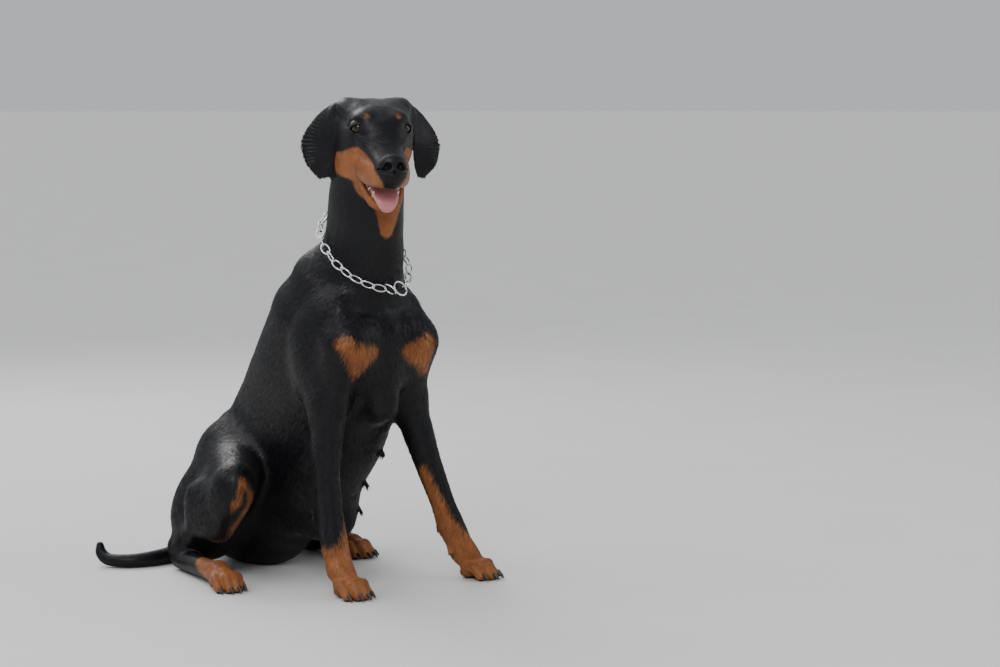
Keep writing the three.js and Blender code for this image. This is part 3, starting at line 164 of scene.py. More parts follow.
@dataclass(frozen=True)
class Station:
    """A place on a trunk's line, with half its width and its reach to the front and the back."""

    place: Array
    width: float
    front: float
    back: float
    turn: float = 0.0


def smooth_line(points: Array, count: int) -> Array:
    """Points along a centripetal Catmull-Rom line.

    Args:
        points: the line's own points.
        count: how many steps, spread evenly over the spans.

    Returns:
        count + 1 places.
    """
    spans = len(points) - 1
    out = []
    for n in range(count + 1):
        t = n / count * spans
        k = min(int(t), spans - 1)
        f = t - k
        p1, p2 = points[k], points[k + 1]
        p0 = points[k - 1] if k > 0 else 2 * p1 - p2
        p3 = points[k + 2] if k + 2 <= spans else 2 * p2 - p1
        d = [max(np.sqrt(np.linalg.norm(b - a)), 1e-4) for a, b in ((p0, p1), (p1, p2), (p2, p3))]
        if d[1] < 1e-4:
            d[1] = 1.0
        if d[0] < 1e-4:
            d[0] = d[1]
        if d[2] < 1e-4:
            d[2] = d[1]
        t1 = ((p1 - p0) / d[0] - (p2 - p0) / (d[0] + d[1]) + (p2 - p1) / d[1]) * d[1]
        t2 = ((p2 - p1) / d[1] - (p3 - p1) / (d[1] + d[2]) + (p3 - p2) / d[2]) * d[1]
        c2 = -3 * p1 + 3 * p2 - 2 * t1 - t2
        c3 = 2 * p1 - 2 * p2 + t1 + t2
        out.append(p1 + t1 * f + c2 * f * f + c3 * f**3)
    return np.array(out)


class Trunk(Lump):
    """A body with a flattened round section along a smooth line."""

    def __init__(self, stations: Sequence[Station], squareness: float = 2.2, steps: int = 5,
                 front: Array | None = None) -> None:
        front = at(0, 1, 0) if front is None else front
        self.power = squareness
        spans = len(stations) - 1
        line = smooth_line(np.array([s.place for s in stations]), spans * steps)
        rows = np.array([[s.width, s.front, s.back, s.turn] for s in stations], float)
        t = np.arange(spans * steps + 1) / steps
        k = np.minimum(t.astype(int), spans - 1)
        f = t - k
        g = ((f + f * f * (3 - 2 * f)) / 2)[:, None]
        values = rows[k] * (1 - g) + rows[k + 1] * g
        self.pieces = []
        for n in range(spans * steps):
            along = line[n + 1] - line[n]
            length = float(np.linalg.norm(along))
            along = along / length
            turn = (values[n, 3] + values[n + 1, 3]) / 2
            side = unit(np.cross(along, turn_matrix("Z", turn) @ front))
            fore = unit(np.cross(side, along))
            self.pieces.append((line[n], along, length, side, fore, values[n, :3], values[n + 1, :3]))
        self.centre = (line.min(0) + line.max(0)) / 2
        self.reach = float(np.linalg.norm(line - self.centre, axis=1).max() + rows[:, :3].max())

    def distance(self, p: Array) -> Array:
        best = np.full(len(p), 1e3)
        for start, along, length, side, fore, low, high in self.pieces:
            q = p - start
            reach = length + max(low.max(), high.max())
            near = np.flatnonzero(norm(q) - reach <= best)
            if not len(near):
                continue
            q = q[near]
            run = q @ along
            t = np.clip(run / length, 0, 1)
            past = run - t * length
            u = q @ side
            v = q @ fore
            ru = low[0] + (high[0] - low[0]) * t
            rv = np.where(v > 0, low[1] + (high[1] - low[1]) * t, low[2] + (high[2] - low[2]) * t)
            rw = np.minimum(ru, rv)
            su, sv, sw = np.abs(u) / ru, np.abs(v) / rv, np.abs(past) / rw
            ring = (su**self.power + sv**self.power) ** (1 / self.power)
            scaled = np.sqrt(ring**2 + sw**2)
            size = np.sqrt(su**2 + sv**2 + sw**2)
            steep = np.sqrt((u / ru**2) ** 2 + (v / rv**2) ** 2 + (past / rw**2) ** 2)
            slope = steep / np.maximum(size, 1e-9)
            d = np.where(scaled < 1e-6, -rw, (scaled - 1) / np.maximum(slope, 1e-9))
            best[near] = np.minimum(best[near], d)
        return best


class Field(Lump):
    """Lumps that are added or carved in turn, in a frame of their own."""

    def __init__(self, turn: Array | None = None, place: Array | None = None, centre: Array | None = None,
                 reach: float = 1e4) -> None:
        self.turn = np.eye(3) if turn is None else turn
        self.place = np.zeros(3) if place is None else place
        self.centre = self.place if centre is None else self.turn @ centre + self.place
        self.reach = reach
        self.steps: list[tuple[Lump, float, bool]] = []

    def add(self, lump: Lump, blend: float) -> "Field":
        """Adds a lump with a smooth join."""
        self.steps.append((lump, blend, True))
        return self

    def cut(self, lump: Lump, blend: float) -> "Field":
        """Carves a lump away with a smooth edge."""
        self.steps.append((lump, blend, False))
        return self

    def distance(self, p: Array) -> Array:
        q = (p - self.place) @ self.turn
        d = np.full(len(q), FAR)
        for lump, blend, adds in self.steps:
            least = norm(q - lump.centre) - lump.reach
            near = np.flatnonzero(least < (d + blend if adds else blend - d))
            if not len(near):
                continue
            mine = lump.distance(q[near])
            d[near] = join(d[near], mine, blend) if adds else carve(d[near], mine, blend)
        return d


# Anatomy, with the same landmarks as the solids


@dataclass(frozen=True)
class Leg:
    """The joints of one leg and where its paw stands."""

    hand: int
    top: Array
    point: Array
    wrist: Array
    pastern: Array
    paw: Array
    toeing: float
    mid: Array | None = None
    blade: Array | None = None

    def shift(self, place: Array, side: float, ahead: float, up: float) -> Array:
        """A place moved outward, ahead and up."""
        return place + at(side * self.hand, ahead, up)

    def on_paw(self, side: float, ahead: float, up: float, size: float = 1.0) -> Array:
        """A place measured from the middle of the paw, along its own toes."""
        return self.paw + size * (turn_matrix("Z", self.toeing) @ at(side, ahead, up))


# A foreleg's top is the elbow and its point the shoulder; a hind leg's top is the hip and its point the knee
FORELEGS = {
    "right": Leg(-1, at(-96, -22, ELBOW_UP), at(-80, 12, 446), at(-111, 13, 98), at(-113, 34, 46),
                 at(-112, 60, 0), -4, mid=at(-108, -12, 215), blade=at(-44, -132, 572)),
    "left": Leg(1, at(88, -16, ELBOW_UP), at(80, 12, 446), at(148, 36, 98), at(170, 48, 46),
                at(184, 66, 0), 16, mid=at(112, 14, 215), blade=at(44, -132, 572)),
}
HINDLEGS = {
    "right": Leg(-1, at(-84, -318, 205), at(-196, -158, 196), at(-174, -384, 44), at(-224, -186, 26),
                 at(-236, -148, 0), -10),
    "left": Leg(1, at(72, -344, 202), at(144, -270, 188), at(138, -428, 40), at(152, -296, 26),
                at(156, -260, 0), 8),
}
TOES = (-1.5, -0.5, 0.5, 1.5)
TOE_PITCH = 15.0
HAIR_UP = at(0, 0, 1)
TEATS = ((46, -32, 240), (44, -82, 177), (54, -127, 124))  # side, ahead and up of those on the left


def torso_flesh(flesh: Field) -> None:
    """The trunk of the body, from the withers to the pelvis."""
    def station(ahead, up, width, front, back, turn=0.0, side=0.0):
        return Station(at(side, ahead, up), width, front, back, turn)

    chest, hip = CHEST_HALF_WIDTH, HIP_HALF_WIDTH
    flesh.add(Trunk([
        station(-96, 536, chest * 0.74, 96, 86),
        station(-100, 505, chest * 0.88, 122, 108),
        station(-112, 468, chest, 148, 140),
        station(-150, 385, chest, 166, 152),
        station(-190, 315, chest * 0.95, 176, 158, 2),
        station(-232, 250, chest * 0.9, 170, 156, 4, -4),
        station(-272, 190, hip, 142, 150, 6, -6),
        station(-306, 130, hip, 112, 136, PELVIS_TURN, -8),
        station(-330, 84, hip * 0.9, 96, 112, PELVIS_TURN, -8),
    ], 2.25), 1)
    flesh.add(Taper(at(0, 34, 470), at(0, 20, 330), 20, 26), 40)
    for hand in (-1, 1):
        flesh.add(Oval(at(hand * 40, 22, 430), (34, 26, 66), (8, hand * 6, 0)), 26)
        flesh.add(Oval(at(hand * 26, -165, 128), (38, 46, 66), (-38, 0, 0)), 40)
    for hand in (-1, 1):
        for side, ahead, up in TEATS:
            root = at(hand * side, ahead, up)
            for _ in range(5):
                root[1] += flesh.distance(root[None])[0] + 2
            flesh.add(Taper(root, root + at(hand * 2, 8, -9), 6, 4), 4)
    flesh.add(Oval(at(-8, -378, 190), (74, 60, 110), (-24, 0, 0)), 50)
    flesh.add(Oval(at(-10, -392, 68), (88, 76, 66)), 45)


def neck_flesh(flesh: Field) -> None:
    """The neck, from between the shoulders to the back of the skull."""
    flesh.add(Trunk([
        Station(at(6, -66, 560), 80, 92, 84, 0),
        Station(at(5, -46, 606), 69, 86, 80, -4),
        Station(at(2, -36, 652), 66, 80, 78, -8),
        Station(at(-2, -26, 705), 66, 76, 74, -14),
        Station(at(-6, -13, 755), 64, 70, 70, -20),
        Station(at(-10, 0, 805), 60, 64, 66, -HEAD_TURN),
    ], 2.1), 40)
    flesh.add(Taper(at(2, 12, 590), at(-8, 36, 735), 26, 24), 30)


def paw_flesh(flesh: Field, leg: Leg, size: float) -> None:
    """Four arched toes round a broad central pad; the claws are pieces of their own."""
    flesh.add(Taper(leg.pastern, leg.on_paw(0, -6, 26, size), 21 * size, 22 * size), 16)
    flesh.add(Oval(leg.on_paw(0, -14, 11, size), (25 * size, 19 * size, 13 * size), (0, 0, leg.toeing)), 10)
    for place in TOES:
        outer = abs(place) > 1
        ahead = 13 if outer else 25
        knuckle = leg.on_paw(place * TOE_PITCH, ahead - 6, 24 if outer else 28, size)
        tip = leg.on_paw(place * TOE_PITCH * 1.08, ahead + 11, 8, size)
        root = leg.on_paw(place * TOE_PITCH * 0.75, -12, 25, size)
        flesh.add(Taper(root, knuckle, 11.5 * size, 10.5 * size), 7)
        flesh.add(Taper(knuckle, tip, 10.5 * size, 9.6 * size), 5)
    if size == 1:
        root = leg.pastern * 0.65 + leg.wrist * 0.35 + at(-leg.hand * 20, -4, 0)
        flesh.add(Taper(root, root + at(-leg.hand * 4, 4, -14), 7, 5.5), 6)


def foreleg_flesh(flesh: Field, leg: Leg) -> None:
    """Shoulder, upper arm, forearm and paw of one side."""
    elbow, point, shift = leg.top, leg.point, leg.shift
    flesh.add(Taper(leg.blade, point, 22, 36), 42)
    flesh.add(Oval(shift(point, -4, -52, 14), (30, 52, 74), (26, leg.hand * 8, 0)), 36)
    flesh.add(Taper(point, shift(elbow, -4, 6, 16), 38, 30), 30)
    flesh.add(Oval(shift(elbow, 2, -38, 76), (29, 44, 82), (-16, 0, 0)), 30)
    flesh.add(Taper(shift(elbow, 3, -26, 8), shift(elbow, 2, -10, -10), 15, 21), 20)
    flesh.add(Trunk([
        Station(shift(elbow, 0, 4, 4), 28, 31, 29),
        Station(elbow * 0.58 + leg.mid * 0.42, 27, 31, 31),
        Station(leg.mid, 23.5, 25, 28),
        Station(leg.mid * 0.38 + leg.wrist * 0.62, 21.5, 22, 25),
        Station(leg.wrist, 26, 23, 24),
        Station(leg.pastern, 24, 20, 20),
    ], 2.3), 26)
    flesh.add(Taper(shift(leg.wrist, -4, -20, 14), shift(leg.wrist, -4, -24, -6), 9, 11), 12)
    paw_flesh(flesh, leg, 1)


def hindleg_flesh(flesh: Field, leg: Leg) -> None:
    """Thigh, shin, hock and hind paw of one side, folded as the dog sits."""
    hip, knee, hock, shift, hand = leg.top, leg.point, leg.wrist, leg.shift, leg.hand
    flesh.add(Oval(shift(hip, -4, -10, -10), (54, 92, 84), (0, 0, -hand * 12)), 44)
    flesh.add(Oval(shift(hip, 34, -30, -84), (46, 88, 78), (0, 0, -hand * 14)), 36)
    flesh.add(Taper(hip, shift(knee, -8, -22, -8), 66, 38), 34)
    flesh.add(Taper(shift(hip, 14, -24, -60), shift(knee, -4, -34, -44), 56, 36), 30)
    flesh.add(Taper(shift(knee, 0, -12, 0), shift(knee, 3, -6, -20), 27, 23), 18)
    flesh.add(Taper(shift(knee, 2, -14, -16), shift(hock, 4, 24, 12), 33, 17), 22)
    flesh.add(Oval(knee * 0.6 + hock * 0.4 + at(hand * 6, -8, -10), (27, 66, 40), (38, 0, -hand * 6)), 46)
    flesh.add(Taper(shift(hock, 0, -2, -4), shift(hock, 0, 16, -8), 20, 21), 14)
    flesh.add(Taper(shift(hock, 2, 10, -24), leg.pastern, 19, 20), 14)
    flesh.add(Oval(shift(hip, 52, -32, -120), (46, 76, 70), (0, 0, -hand * 10)), 30)
    paw_flesh(flesh, leg, 0.96)


TAIL = [Station(at(side, ahead, up), radius, radius, radius) for side, ahead, up, radius in (
    (0, -428, 118, 34), (-6, -462, 80, 27), (-20, -484, 42, 22), (-60, -480, 20, 19.5),
    (-118, -458, 16.5, 18),
    (-180, -440, 15, 16.5), (-226, -446, 13.5, 15), (-254, -466, 13.5, 14), (-266, -488, 16, 13),
    (-270, -502, 27, 12), (-269, -506, 40, 8.5),
)]

# The head has its own frame: side, along the muzzle, up from the line of the eyes
HEAD_PLACE = at(-10, 14, 845)
HEAD_BASIS = turn_matrix("Z", -HEAD_TURN) @ turn_matrix("X", HEAD_NOD)
in_head = at
JAW_HINGE = in_head(0, -4, -52)
EYE_SIDE, EYE_ALONG, EYE_UP = 40.0, 43.0, 0.0
GAZE_OUT = 24.0


def on_jaw(side: float, along: float, up: float) -> Array:
    """A place on the lower jaw, in the head's frame, measured along it from the hinge."""
    c, s = math.cos(math.radians(JAW_OPEN)), math.sin(math.radians(JAW_OPEN))
    return JAW_HINGE + in_head(side, along * c + up * s, -along * s + up * c)


def head_to_world(place: Array) -> Array:
    """A place in the head's frame, in the dog's frame."""
    return HEAD_BASIS @ place + HEAD_PLACE


def gaze_of(hand: int) -> Array:
    """The way an eye looks, in the head's frame."""
    out = math.radians(GAZE_OUT)
    return unit(at(hand * math.sin(out), math.cos(out), 0.06))


class Lids(Lump):
    """The two lids round an eye: a thin shell with an almond slit along the gaze."""

    def __init__(self, hand: int) -> None:
        self.hand = hand
        self.centre = in_head(hand * EYE_SIDE, EYE_ALONG, EYE_UP)
        self.gaze = gaze_of(hand)
        self.across = unit(np.cross(UPWARD, self.gaze))
        self.upward = unit(np.cross(self.gaze, self.across))
        self.shell = EYE_RADIUS + 3.1
        self.reach = self.shell + 3

    def distance(self, p: Array) -> Array:
        q = p - self.centre
        u, v, w = q @ self.across, q @ self.upward, q @ self.gaze
        ball = np.abs(norm(q) - self.shell + 0.9) - 1.9
        lean = v + u * self.hand * 0.16
        slit = (7.3 * (1 - (u / 14.2) ** 2) - np.abs(lean)) * 0.8
        return np.maximum(ball, np.where(w > 0, slit, -1e3))


def head_flesh(head: Field) -> None:
    """Skull, muzzle, lips and nose."""
    def station(along, up, width, top, under):
        return Station(in_head(0, along, up), width, top, under)

    head.add(Trunk([
        station(-80, 2, 34, 18, 36), station(-52, -2, 51, 34, 46), station(-16, -2, 60, 39, 54),
        station(20, -2, 58, 38, 52), station(44, -6, 49, 31, 44), station(58, -13, 40, 20, 38),
    ], 2.5, front=HAIR_UP), 1)
    head.add(Trunk([
        station(26, -24, 42, 26, 38), station(60, -33, 38, 24, 36), station(95, -40, 33, 24, 34),
        station(130, -46, 30, 23, 30), station(154, -50, 27, 21, 26), station(164, -50, 21, 16, 18),
    ], 2.6, front=HAIR_UP), 20)
    for hand in (-1, 1):
        head.add(Oval(in_head(hand * 36, -22, 16), (28, 44, 21)), 12)
        head.add(Taper(in_head(hand * 45, 40, -14), in_head(hand * 54, -14, -12), 9, 12), 16)
        head.add(Oval(in_head(hand * 46, 0, -44), (21, 44, 36), (-14, 0, 0)), 18)
        head.add(Oval(in_head(hand * 31, 42, 19), (16, 15, 10)), 12)
        head.add(Oval(in_head(hand * 53, -28, 22), (15, 25, 15)), 12)
        head.add(Trunk([
            Station(in_head(hand * 42, 52, -64), 8, 16, 16),
            Station(in_head(hand * 38, 86, -68), 8.5, 20, 19),
            Station(in_head(hand * 30, 122, -68), 9.5, 20, 19),
            Station(in_head(hand * 18, 148, -65), 10.5, 17, 17),
            Station(in_head(hand * 6, 157, -63), 11, 14, 16),
        ], 2.1, front=HAIR_UP), 12)
    head.add(Oval(in_head(0, 160, -38), (24.5, 15, 20), (-8, 0, 0)), 5)


def jaw_flesh(head: Field) -> None:
    """The lower jaw, hanging open."""
    rows = ((2, -6, 44, 20, 28), (40, -4, 44, 13, 20), (80, -2, 42, 11, 16), (108, 0, 37, 11, 14),
            (128, 1, 31, 10, 13), (139, 2, 25, 8, 9))
    head.add(Trunk([Station(on_jaw(0, a, u), w, t, b) for a, u, w, t, b in rows], 2.3, front=HAIR_UP), 10)


def head_hollows(head: Field) -> None:
    """Mouth, nostrils and the beds of the eyes, with the lids."""
    roof = ((62, -84, 33, 10), (96, -86, 29, 17), (130, -88, 22, 19), (143, -90, 14, 15))
    head.cut(Trunk([Station(in_head(0, a, u), w, t, 30) for a, u, w, t in roof], 2.4, front=HAIR_UP), 5)
    trough = ((48, 14, 37, 16, 10), (84, 14, 36, 18, 12), (112, 15, 30.5, 18, 12), (129, 16, 24, 14, 10))
    head.cut(Trunk([Station(on_jaw(0, a, u), w, t, b) for a, u, w, t, b in trough], 2.4, front=HAIR_UP), 4)
    for hand in (-1, 1):
        head.cut(Oval(in_head(hand * 11.5, 174, -38), (6.4, 12, 5.6), (10, 0, hand * 20)), 2.5)
        head.cut(Taper(in_head(hand * 15, 170, -42), in_head(hand * 24, 158, -46), 2.6, 1.4), 2)
    head.cut(Taper(in_head(0, 178, -46), in_head(0, 170, -68), 1.3, 1.3), 2.5)
    for hand in (-1, 1):
        eye = in_head(hand * EYE_SIDE, EYE_ALONG, EYE_UP)
        head.cut(Oval(eye, [EYE_RADIUS + 3.2] * 3), 3)
        head.add(Lids(hand), 2.2)
        head.cut(Oval(eye, [EYE_RADIUS + 0.3] * 3), 0.2)


def ear_flesh(head: Field, hand: int) -> None:
    """A drop ear: a leaf that turns its face to the front as it falls, with flesh behind its root."""
    rows = ((36, -24, 13, 18), (54, -28, 18, 22), (73, -33, 6, 25), (88, -34, -15, 29),
            (99, -29, -42, 34), (99, -22, -70, 27), (94, -18, -90, 18), (91, -16, -104, 9))
    half = EAR_THICKNESS / 2
    head.add(Trunk([Station(in_head(hand * s, a, u), w, half, half) for s, a, u, w in rows], 4.5,
                   front=at(hand * 0.5, 0.87, 1.4)), 6)
    head.add(Oval(in_head(hand * 64, -40, -8), (16, 16, 36)), 8)


def tongue_flesh(tongue: Field) -> None:
    """The tongue, from the floor of the mouth over the lower teeth."""
    rows = ((52, 4, 24, 7), (84, 9, 26, 8), (112, 13, 25, 7.5), (130, 15, 23, 6.5), (142, 14, 19.5, 5.5),
            (149, 9, 15, 4.6), (151, 3, 10, 4))
    tongue.add(Trunk([Station(on_jaw(0, a, u), w, t, t) for a, u, w, t in rows], 2.3, front=HAIR_UP), 1)


def head_field() -> Field:
    """The head in its own frame, as one lump of the body."""
    head = Field(HEAD_BASIS, HEAD_PLACE, in_head(0, 30, -30), 200)
    head_flesh(head)
    jaw_flesh(head)
    head_hollows(head)
    for hand in (-1, 1):
        ear_flesh(head, hand)
    return head


def whole_flesh() -> Field:
    """The whole dog as one field, in the order of the solids."""
    flesh = Field()
    torso_flesh(flesh)
    neck_flesh(flesh)
    for leg in FORELEGS.values():
        foreleg_flesh(flesh, leg)
    for leg in HINDLEGS.values():
        hindleg_flesh(flesh, leg)
    flesh.add(Trunk(TAIL, 2, 3, front=at(0, 0.3, 1)), 10)
    flesh.add(head_field(), 16)
    return flesh


# Surfaces from a field


@dataclass(frozen=True)
class Zone:
    """A stretch of an axis with a finer step."""

    low: float
    high: float
    step: float


def axis_places(low: float, high: float, coarse: float, zones: Iterable[Zone] = ()) -> Array:
    """Places of the lattice along one axis, closer together in the zones.

    Args:
        low: where the axis starts, in millimetres.
        high: where it ends.
        coarse: the step away from the zones.
        zones: finer stretches; the step grows smoothly away from them.

    Returns:
        Rising places.
    """
    places = [low]
    while places[-1] < high:
        x = places[-1]
        step = coarse
        for zone in zones:
            away = max(zone.low - x, x - zone.high, 0.0)
            step = min(step, zone.step + 0.12 * away)
        places.append(x + step)
    return np.array(places)


CORNERS = np.array([[0, 0, 0], [1, 0, 0], [0, 1, 0], [1, 1, 0], [0, 0, 1], [1, 0, 1], [0, 1, 1], [1, 1, 1]])
EDGES = [(a, b) for a in range(8) for b in range(a + 1, 8) if abs(CORNERS[a] - CORNERS[b]).sum() == 1]
CHUNK = 60000
BLOCKS = (12, 3)  # lattice steps in one block of the two coarse looks


def in_chunks(distance: Callable[[Array], Array], points: Array) -> Array:
    """A distance taken for many points, a chunk at a time."""
    if not len(points):
        return np.zeros(0)
    return np.concatenate([distance(points[n:n + CHUNK]) for n in range(0, len(points), CHUNK)])


def surface_of(distance: Callable[[Array], Array], axes: Sequence[Array]) -> tuple[Array, Array]:
    """A quad surface where a distance is zero.

    Args:
        distance: signed distance of an array of points, in millimetres.
        axes: the lattice's places along x, y and z.

    Returns:
        Vertices in millimetres and quads.
    """
    counts = [len(axis) for axis in axes]
    values = np.full(counts, FAR, np.float32)
    flagged = np.ones([1, 1, 1], bool)
    owners = [np.zeros(n, int) for n in counts]
    for block in BLOCKS:
        starts = [np.arange(0, n - 1, block) for n in counts]
        ends = [np.minimum(s + block, n - 1) for s, n in zip(starts, counts)]
        chosen = np.flatnonzero(flagged[np.ix_(*[owner[s] for owner, s in zip(owners, starts)])].reshape(-1))
        shape = [len(s) for s in starts]
        ids = np.unravel_index(chosen, shape)
        low = np.column_stack([a[s[i]] for a, s, i in zip(axes, starts, ids)])
        high = np.column_stack([a[e[i]] for a, e, i in zip(axes, ends, ids)])
        at_middle = in_chunks(distance, (low + high) / 2)
        radius = norm(high - low) / 2
        sign = np.full(shape, np.nan, np.float32)
        sign.reshape(-1)[chosen] = np.where(at_middle < 0, -FAR, FAR)
        owners = [np.minimum(np.arange(n) // block, len(s) - 1) for n, s in zip(counts, starts)]
        spread = sign[np.ix_(*owners)]
        np.copyto(values, spread, where=~np.isnan(spread))
        flagged = np.zeros(shape, bool)
        flagged.reshape(-1)[chosen] = np.abs(at_middle) < radius * 1.2 + 1
    needed = flagged[np.ix_(*owners)]
    for axis in range(3):
        before = np.zeros_like(flagged)
        upper = [slice(None)] * 3
        lower = [slice(None)] * 3
        upper[axis] = slice(1, None)
        lower[axis] = slice(0, -1)
        before[tuple(upper)] = flagged[tuple(lower)]
        rim_shape = [1, 1, 1]
        rim_shape[axis] = counts[axis]
        rim = (np.arange(counts[axis]) % BLOCKS[-1] == 0).reshape(rim_shape)
        needed |= before[np.ix_(*owners)] & rim
    wanted = np.flatnonzero(needed.reshape(-1))
    i, j, k = np.unravel_index(wanted, counts)
    points = np.column_stack([axes[0][i], axes[1][j], axes[2][k]])
    values.reshape(-1)[wanted] = in_chunks(distance, points)
    inside = values < 0
    shape = [n - 1 for n in counts]
    some = np.zeros(shape, bool)
    every = np.ones(shape, bool)
    for a, b, c in CORNERS:
        part = inside[a:a + shape[0], b:b + shape[1], c:c + shape[2]]
        some |= part
        every &= part
    cells = np.flatnonzero((some & ~every).reshape(-1))
    ci = np.stack(np.unravel_index(cells, shape), 1)
    corner_values = np.stack([values[tuple((ci + c).T)] for c in CORNERS], 1)
    total = np.zeros((len(ci), 3))
    hits = np.zeros(len(ci))
    for a, b in EDGES:
        va, vb = corner_values[:, a], corner_values[:, b]
        cross = (va < 0) != (vb < 0)
        t = np.where(cross, va / np.where(cross, va - vb, 1), 0)
        total += cross[:, None] * (CORNERS[a] + t[:, None] * (CORNERS[b] - CORNERS[a]))
        hits += cross
    local = total / hits[:, None]
    vertices = np.empty((len(ci), 3))
    for axis in range(3):
        low = axes[axis][ci[:, axis]]
        vertices[:, axis] = low + local[:, axis] * (axes[axis][ci[:, axis] + 1] - low)
    quads = []
    for axis in range(3):
        one, two = (axis + 1) % 3, (axis + 2) % 3
        first = [slice(None)] * 3
        second = [slice(None)] * 3
        first[axis], second[axis] = slice(0, -1), slice(1, None)
        for other in (one, two):
            first[other] = second[other] = slice(1, -1)
        low_in, high_in = inside[tuple(first)], inside[tuple(second)]
        for flip in (False, True):
            hit = np.stack(np.nonzero((low_in & ~high_in) if flip else (~low_in & high_in)), 1)
            hit[:, [one, two]] += 1
            ring = []
            for da, db in ((-1, -1), (0, -1), (0, 0), (-1, 0)):
                cell = hit.copy()
                cell[:, one] += da
                cell[:, two] += db
                flat = np.ravel_multi_index(tuple(cell.T), shape)
                ring.append(np.searchsorted(cells, flat))
            quad = np.stack(ring, 1)
            quads.append(quad if flip else quad[:, ::-1])
    return vertices, np.concatenate(quads)


def gradient_of(distance: Callable[[Array], Array], points: Array, step: float = 0.6) -> tuple[Array, Array]:
    """The distance at points and its unit gradient.

    Args:
        distance: signed distance of an array of points.
        points: where to take it.
        step: half the span of the difference, in millimetres.

    Returns:
        The distances and the unit gradients.
    """
    ways = np.array([[1, -1, -1], [-1, -1, 1], [-1, 1, -1], [1, 1, 1]], float)
    taken = [in_chunks(distance, points + step * way) for way in ways]
    slope = sum(value[:, None] * way for value, way in zip(taken, ways)) / (4 * step)
    size = norm(slope)
    return sum(taken) / 4, slope / np.maximum(size, 1e-6)[:, None]


# Where the body carries rust hair, bare leather and wet skin
# Each mask is a signed distance in millimetres, positive inside the mark


def marks_union(lumps: Sequence[Lump], blend: float) -> Field:
    """Marks joined softly into one field."""
    marks = Field()
    for lump in lumps:
        marks.add(lump, blend)
    return marks


class HeadLump(Lump):
    """A lump whose place is given in the head's frame."""

    def __init__(self, lump: Lump) -> None:
        self.field = Field(HEAD_BASIS, HEAD_PLACE, lump.centre, lump.reach).add(lump, 1)
        self.centre, self.reach = self.field.centre, lump.reach

    def distance(self, p: Array) -> Array:
        return self.field.distance(p)


def chest_patch(corners: Sequence[Array], radii: Sequence[float]) -> list[Lump]:
    """A three-cornered chest patch as tapers between its corners."""
    ring = list(zip(corners, radii))
    sides = zip(ring, ring[1:] + ring[:1])
    return [Taper(a, b, radius_a, radius_b) for (a, radius_a), (b, radius_b) in sides]


def rust_marks() -> Field:
    """The rust-coloured marks of the breed."""
    marks: list[Lump] = []
    for hand in (-1, 1):
        marks.append(HeadLump(Oval(in_head(hand * 28, 50, 21), (6.5, 9, 5.5))))
        marks.append(HeadLump(Taper(in_head(hand * 40, 132, -64), in_head(hand * 50, 66, -60), 24, 30)))
        marks.append(HeadLump(Taper(in_head(hand * 50, 66, -64), in_head(hand * 60, 14, -70), 28, 22)))
        marks.append(HeadLump(Oval(in_head(hand * 22, 152, -68), (13, 16, 17))))
        marks.append(HeadLump(Taper(on_jaw(hand * 34, 10, -10), on_jaw(hand * 22, 140, -6), 20, 16)))
    marks.append(Taper(at(-16, 62, 716), at(-16, 50, 652), 34, 12))
    marks += chest_patch([at(-100, 38, 452), at(-54, 52, 440), at(-80, 38, 404)], (15, 11, 9))
    marks += chest_patch([at(28, 56, 436), at(74, 56, 446), at(82, 36, 398)], (10, 15, 10))
    marks += [Oval(at(-80, 44, 434), (24, 30, 18)), Oval(at(62, 52, 430), (26, 30, 18))]
    for leg in FORELEGS.values():
        inner = at(-leg.hand * 22, 6, 0)
        low = leg.wrist + at(0, 0, -26)
        marks.append(Taper(low, leg.pastern + at(0, 10, 0), 30, 40))
        marks.append(Taper(leg.wrist + at(-leg.hand * 4, 20, 6), low, 6, 24))
        reach = 0.95 if leg.hand > 0 else 0.35
        marks.append(Taper(leg.mid * reach + leg.wrist * (1 - reach) + inner, leg.wrist + inner, 10, 22))
        marks.append(Oval(leg.paw + at(0, 8, 10), (62, 74, 44)))
    for leg in HINDLEGS.values():
        knee, hock, hand = leg.point, leg.wrist, leg.hand
        fork = knee + at(-hand * 18, 18, -36)
        marks.append(Taper(knee + at(hand * 6, 20, 2), fork, 4, 8))
        marks.append(Taper(fork, (hock + leg.pastern) / 2 + at(-hand * 14, 24, 24), 8, 19))
        marks.append(Taper(knee + at(hand * 6, 20, 2), knee + at(hand * 17, 14, -44), 4, 7))
        marks.append(Taper(knee + at(hand * 17, 14, -44), leg.pastern + at(hand * 8, -14, 24), 7, 12))
        marks.append(Taper(hock * 0.3 + leg.pastern * 0.7 + at(0, 0, 8), leg.pastern, 20, 32))
        marks.append(Oval(leg.paw + at(0, 4, 10), (58, 72, 40)))
    marks.append(Oval(at(-8, -470, 42), (30, 18, 20)))
    return marks_union(marks, 8)


def nose_mark() -> Field:
    """The nose leather."""
    return marks_union([HeadLump(Oval(in_head(0, 163, -33), (22.5, 17, 18), (-8, 0, 0)))], 3)


def mouth_mark() -> Field:
    """The wet inside of the mouth."""
    lumps = [HeadLump(Trunk([Station(in_head(0, a, u), w, t, 24) for a, u, w, t in (
        (64, -86, 25, 8), (96, -88, 21, 15), (130, -90, 15, 17), (141, -92, 9, 13))], 2.4, front=HAIR_UP)),
        HeadLump(Trunk([Station(on_jaw(0, a, u), w, t, b) for a, u, w, t, b in (
            (48, 14, 33, 16, 11), (84, 14, 29, 18, 13), (112, 15, 22.5, 18, 13), (128, 16, 14.5, 14, 11))],
            2.4, front=HAIR_UP))]
    return marks_union(lumps, 2)


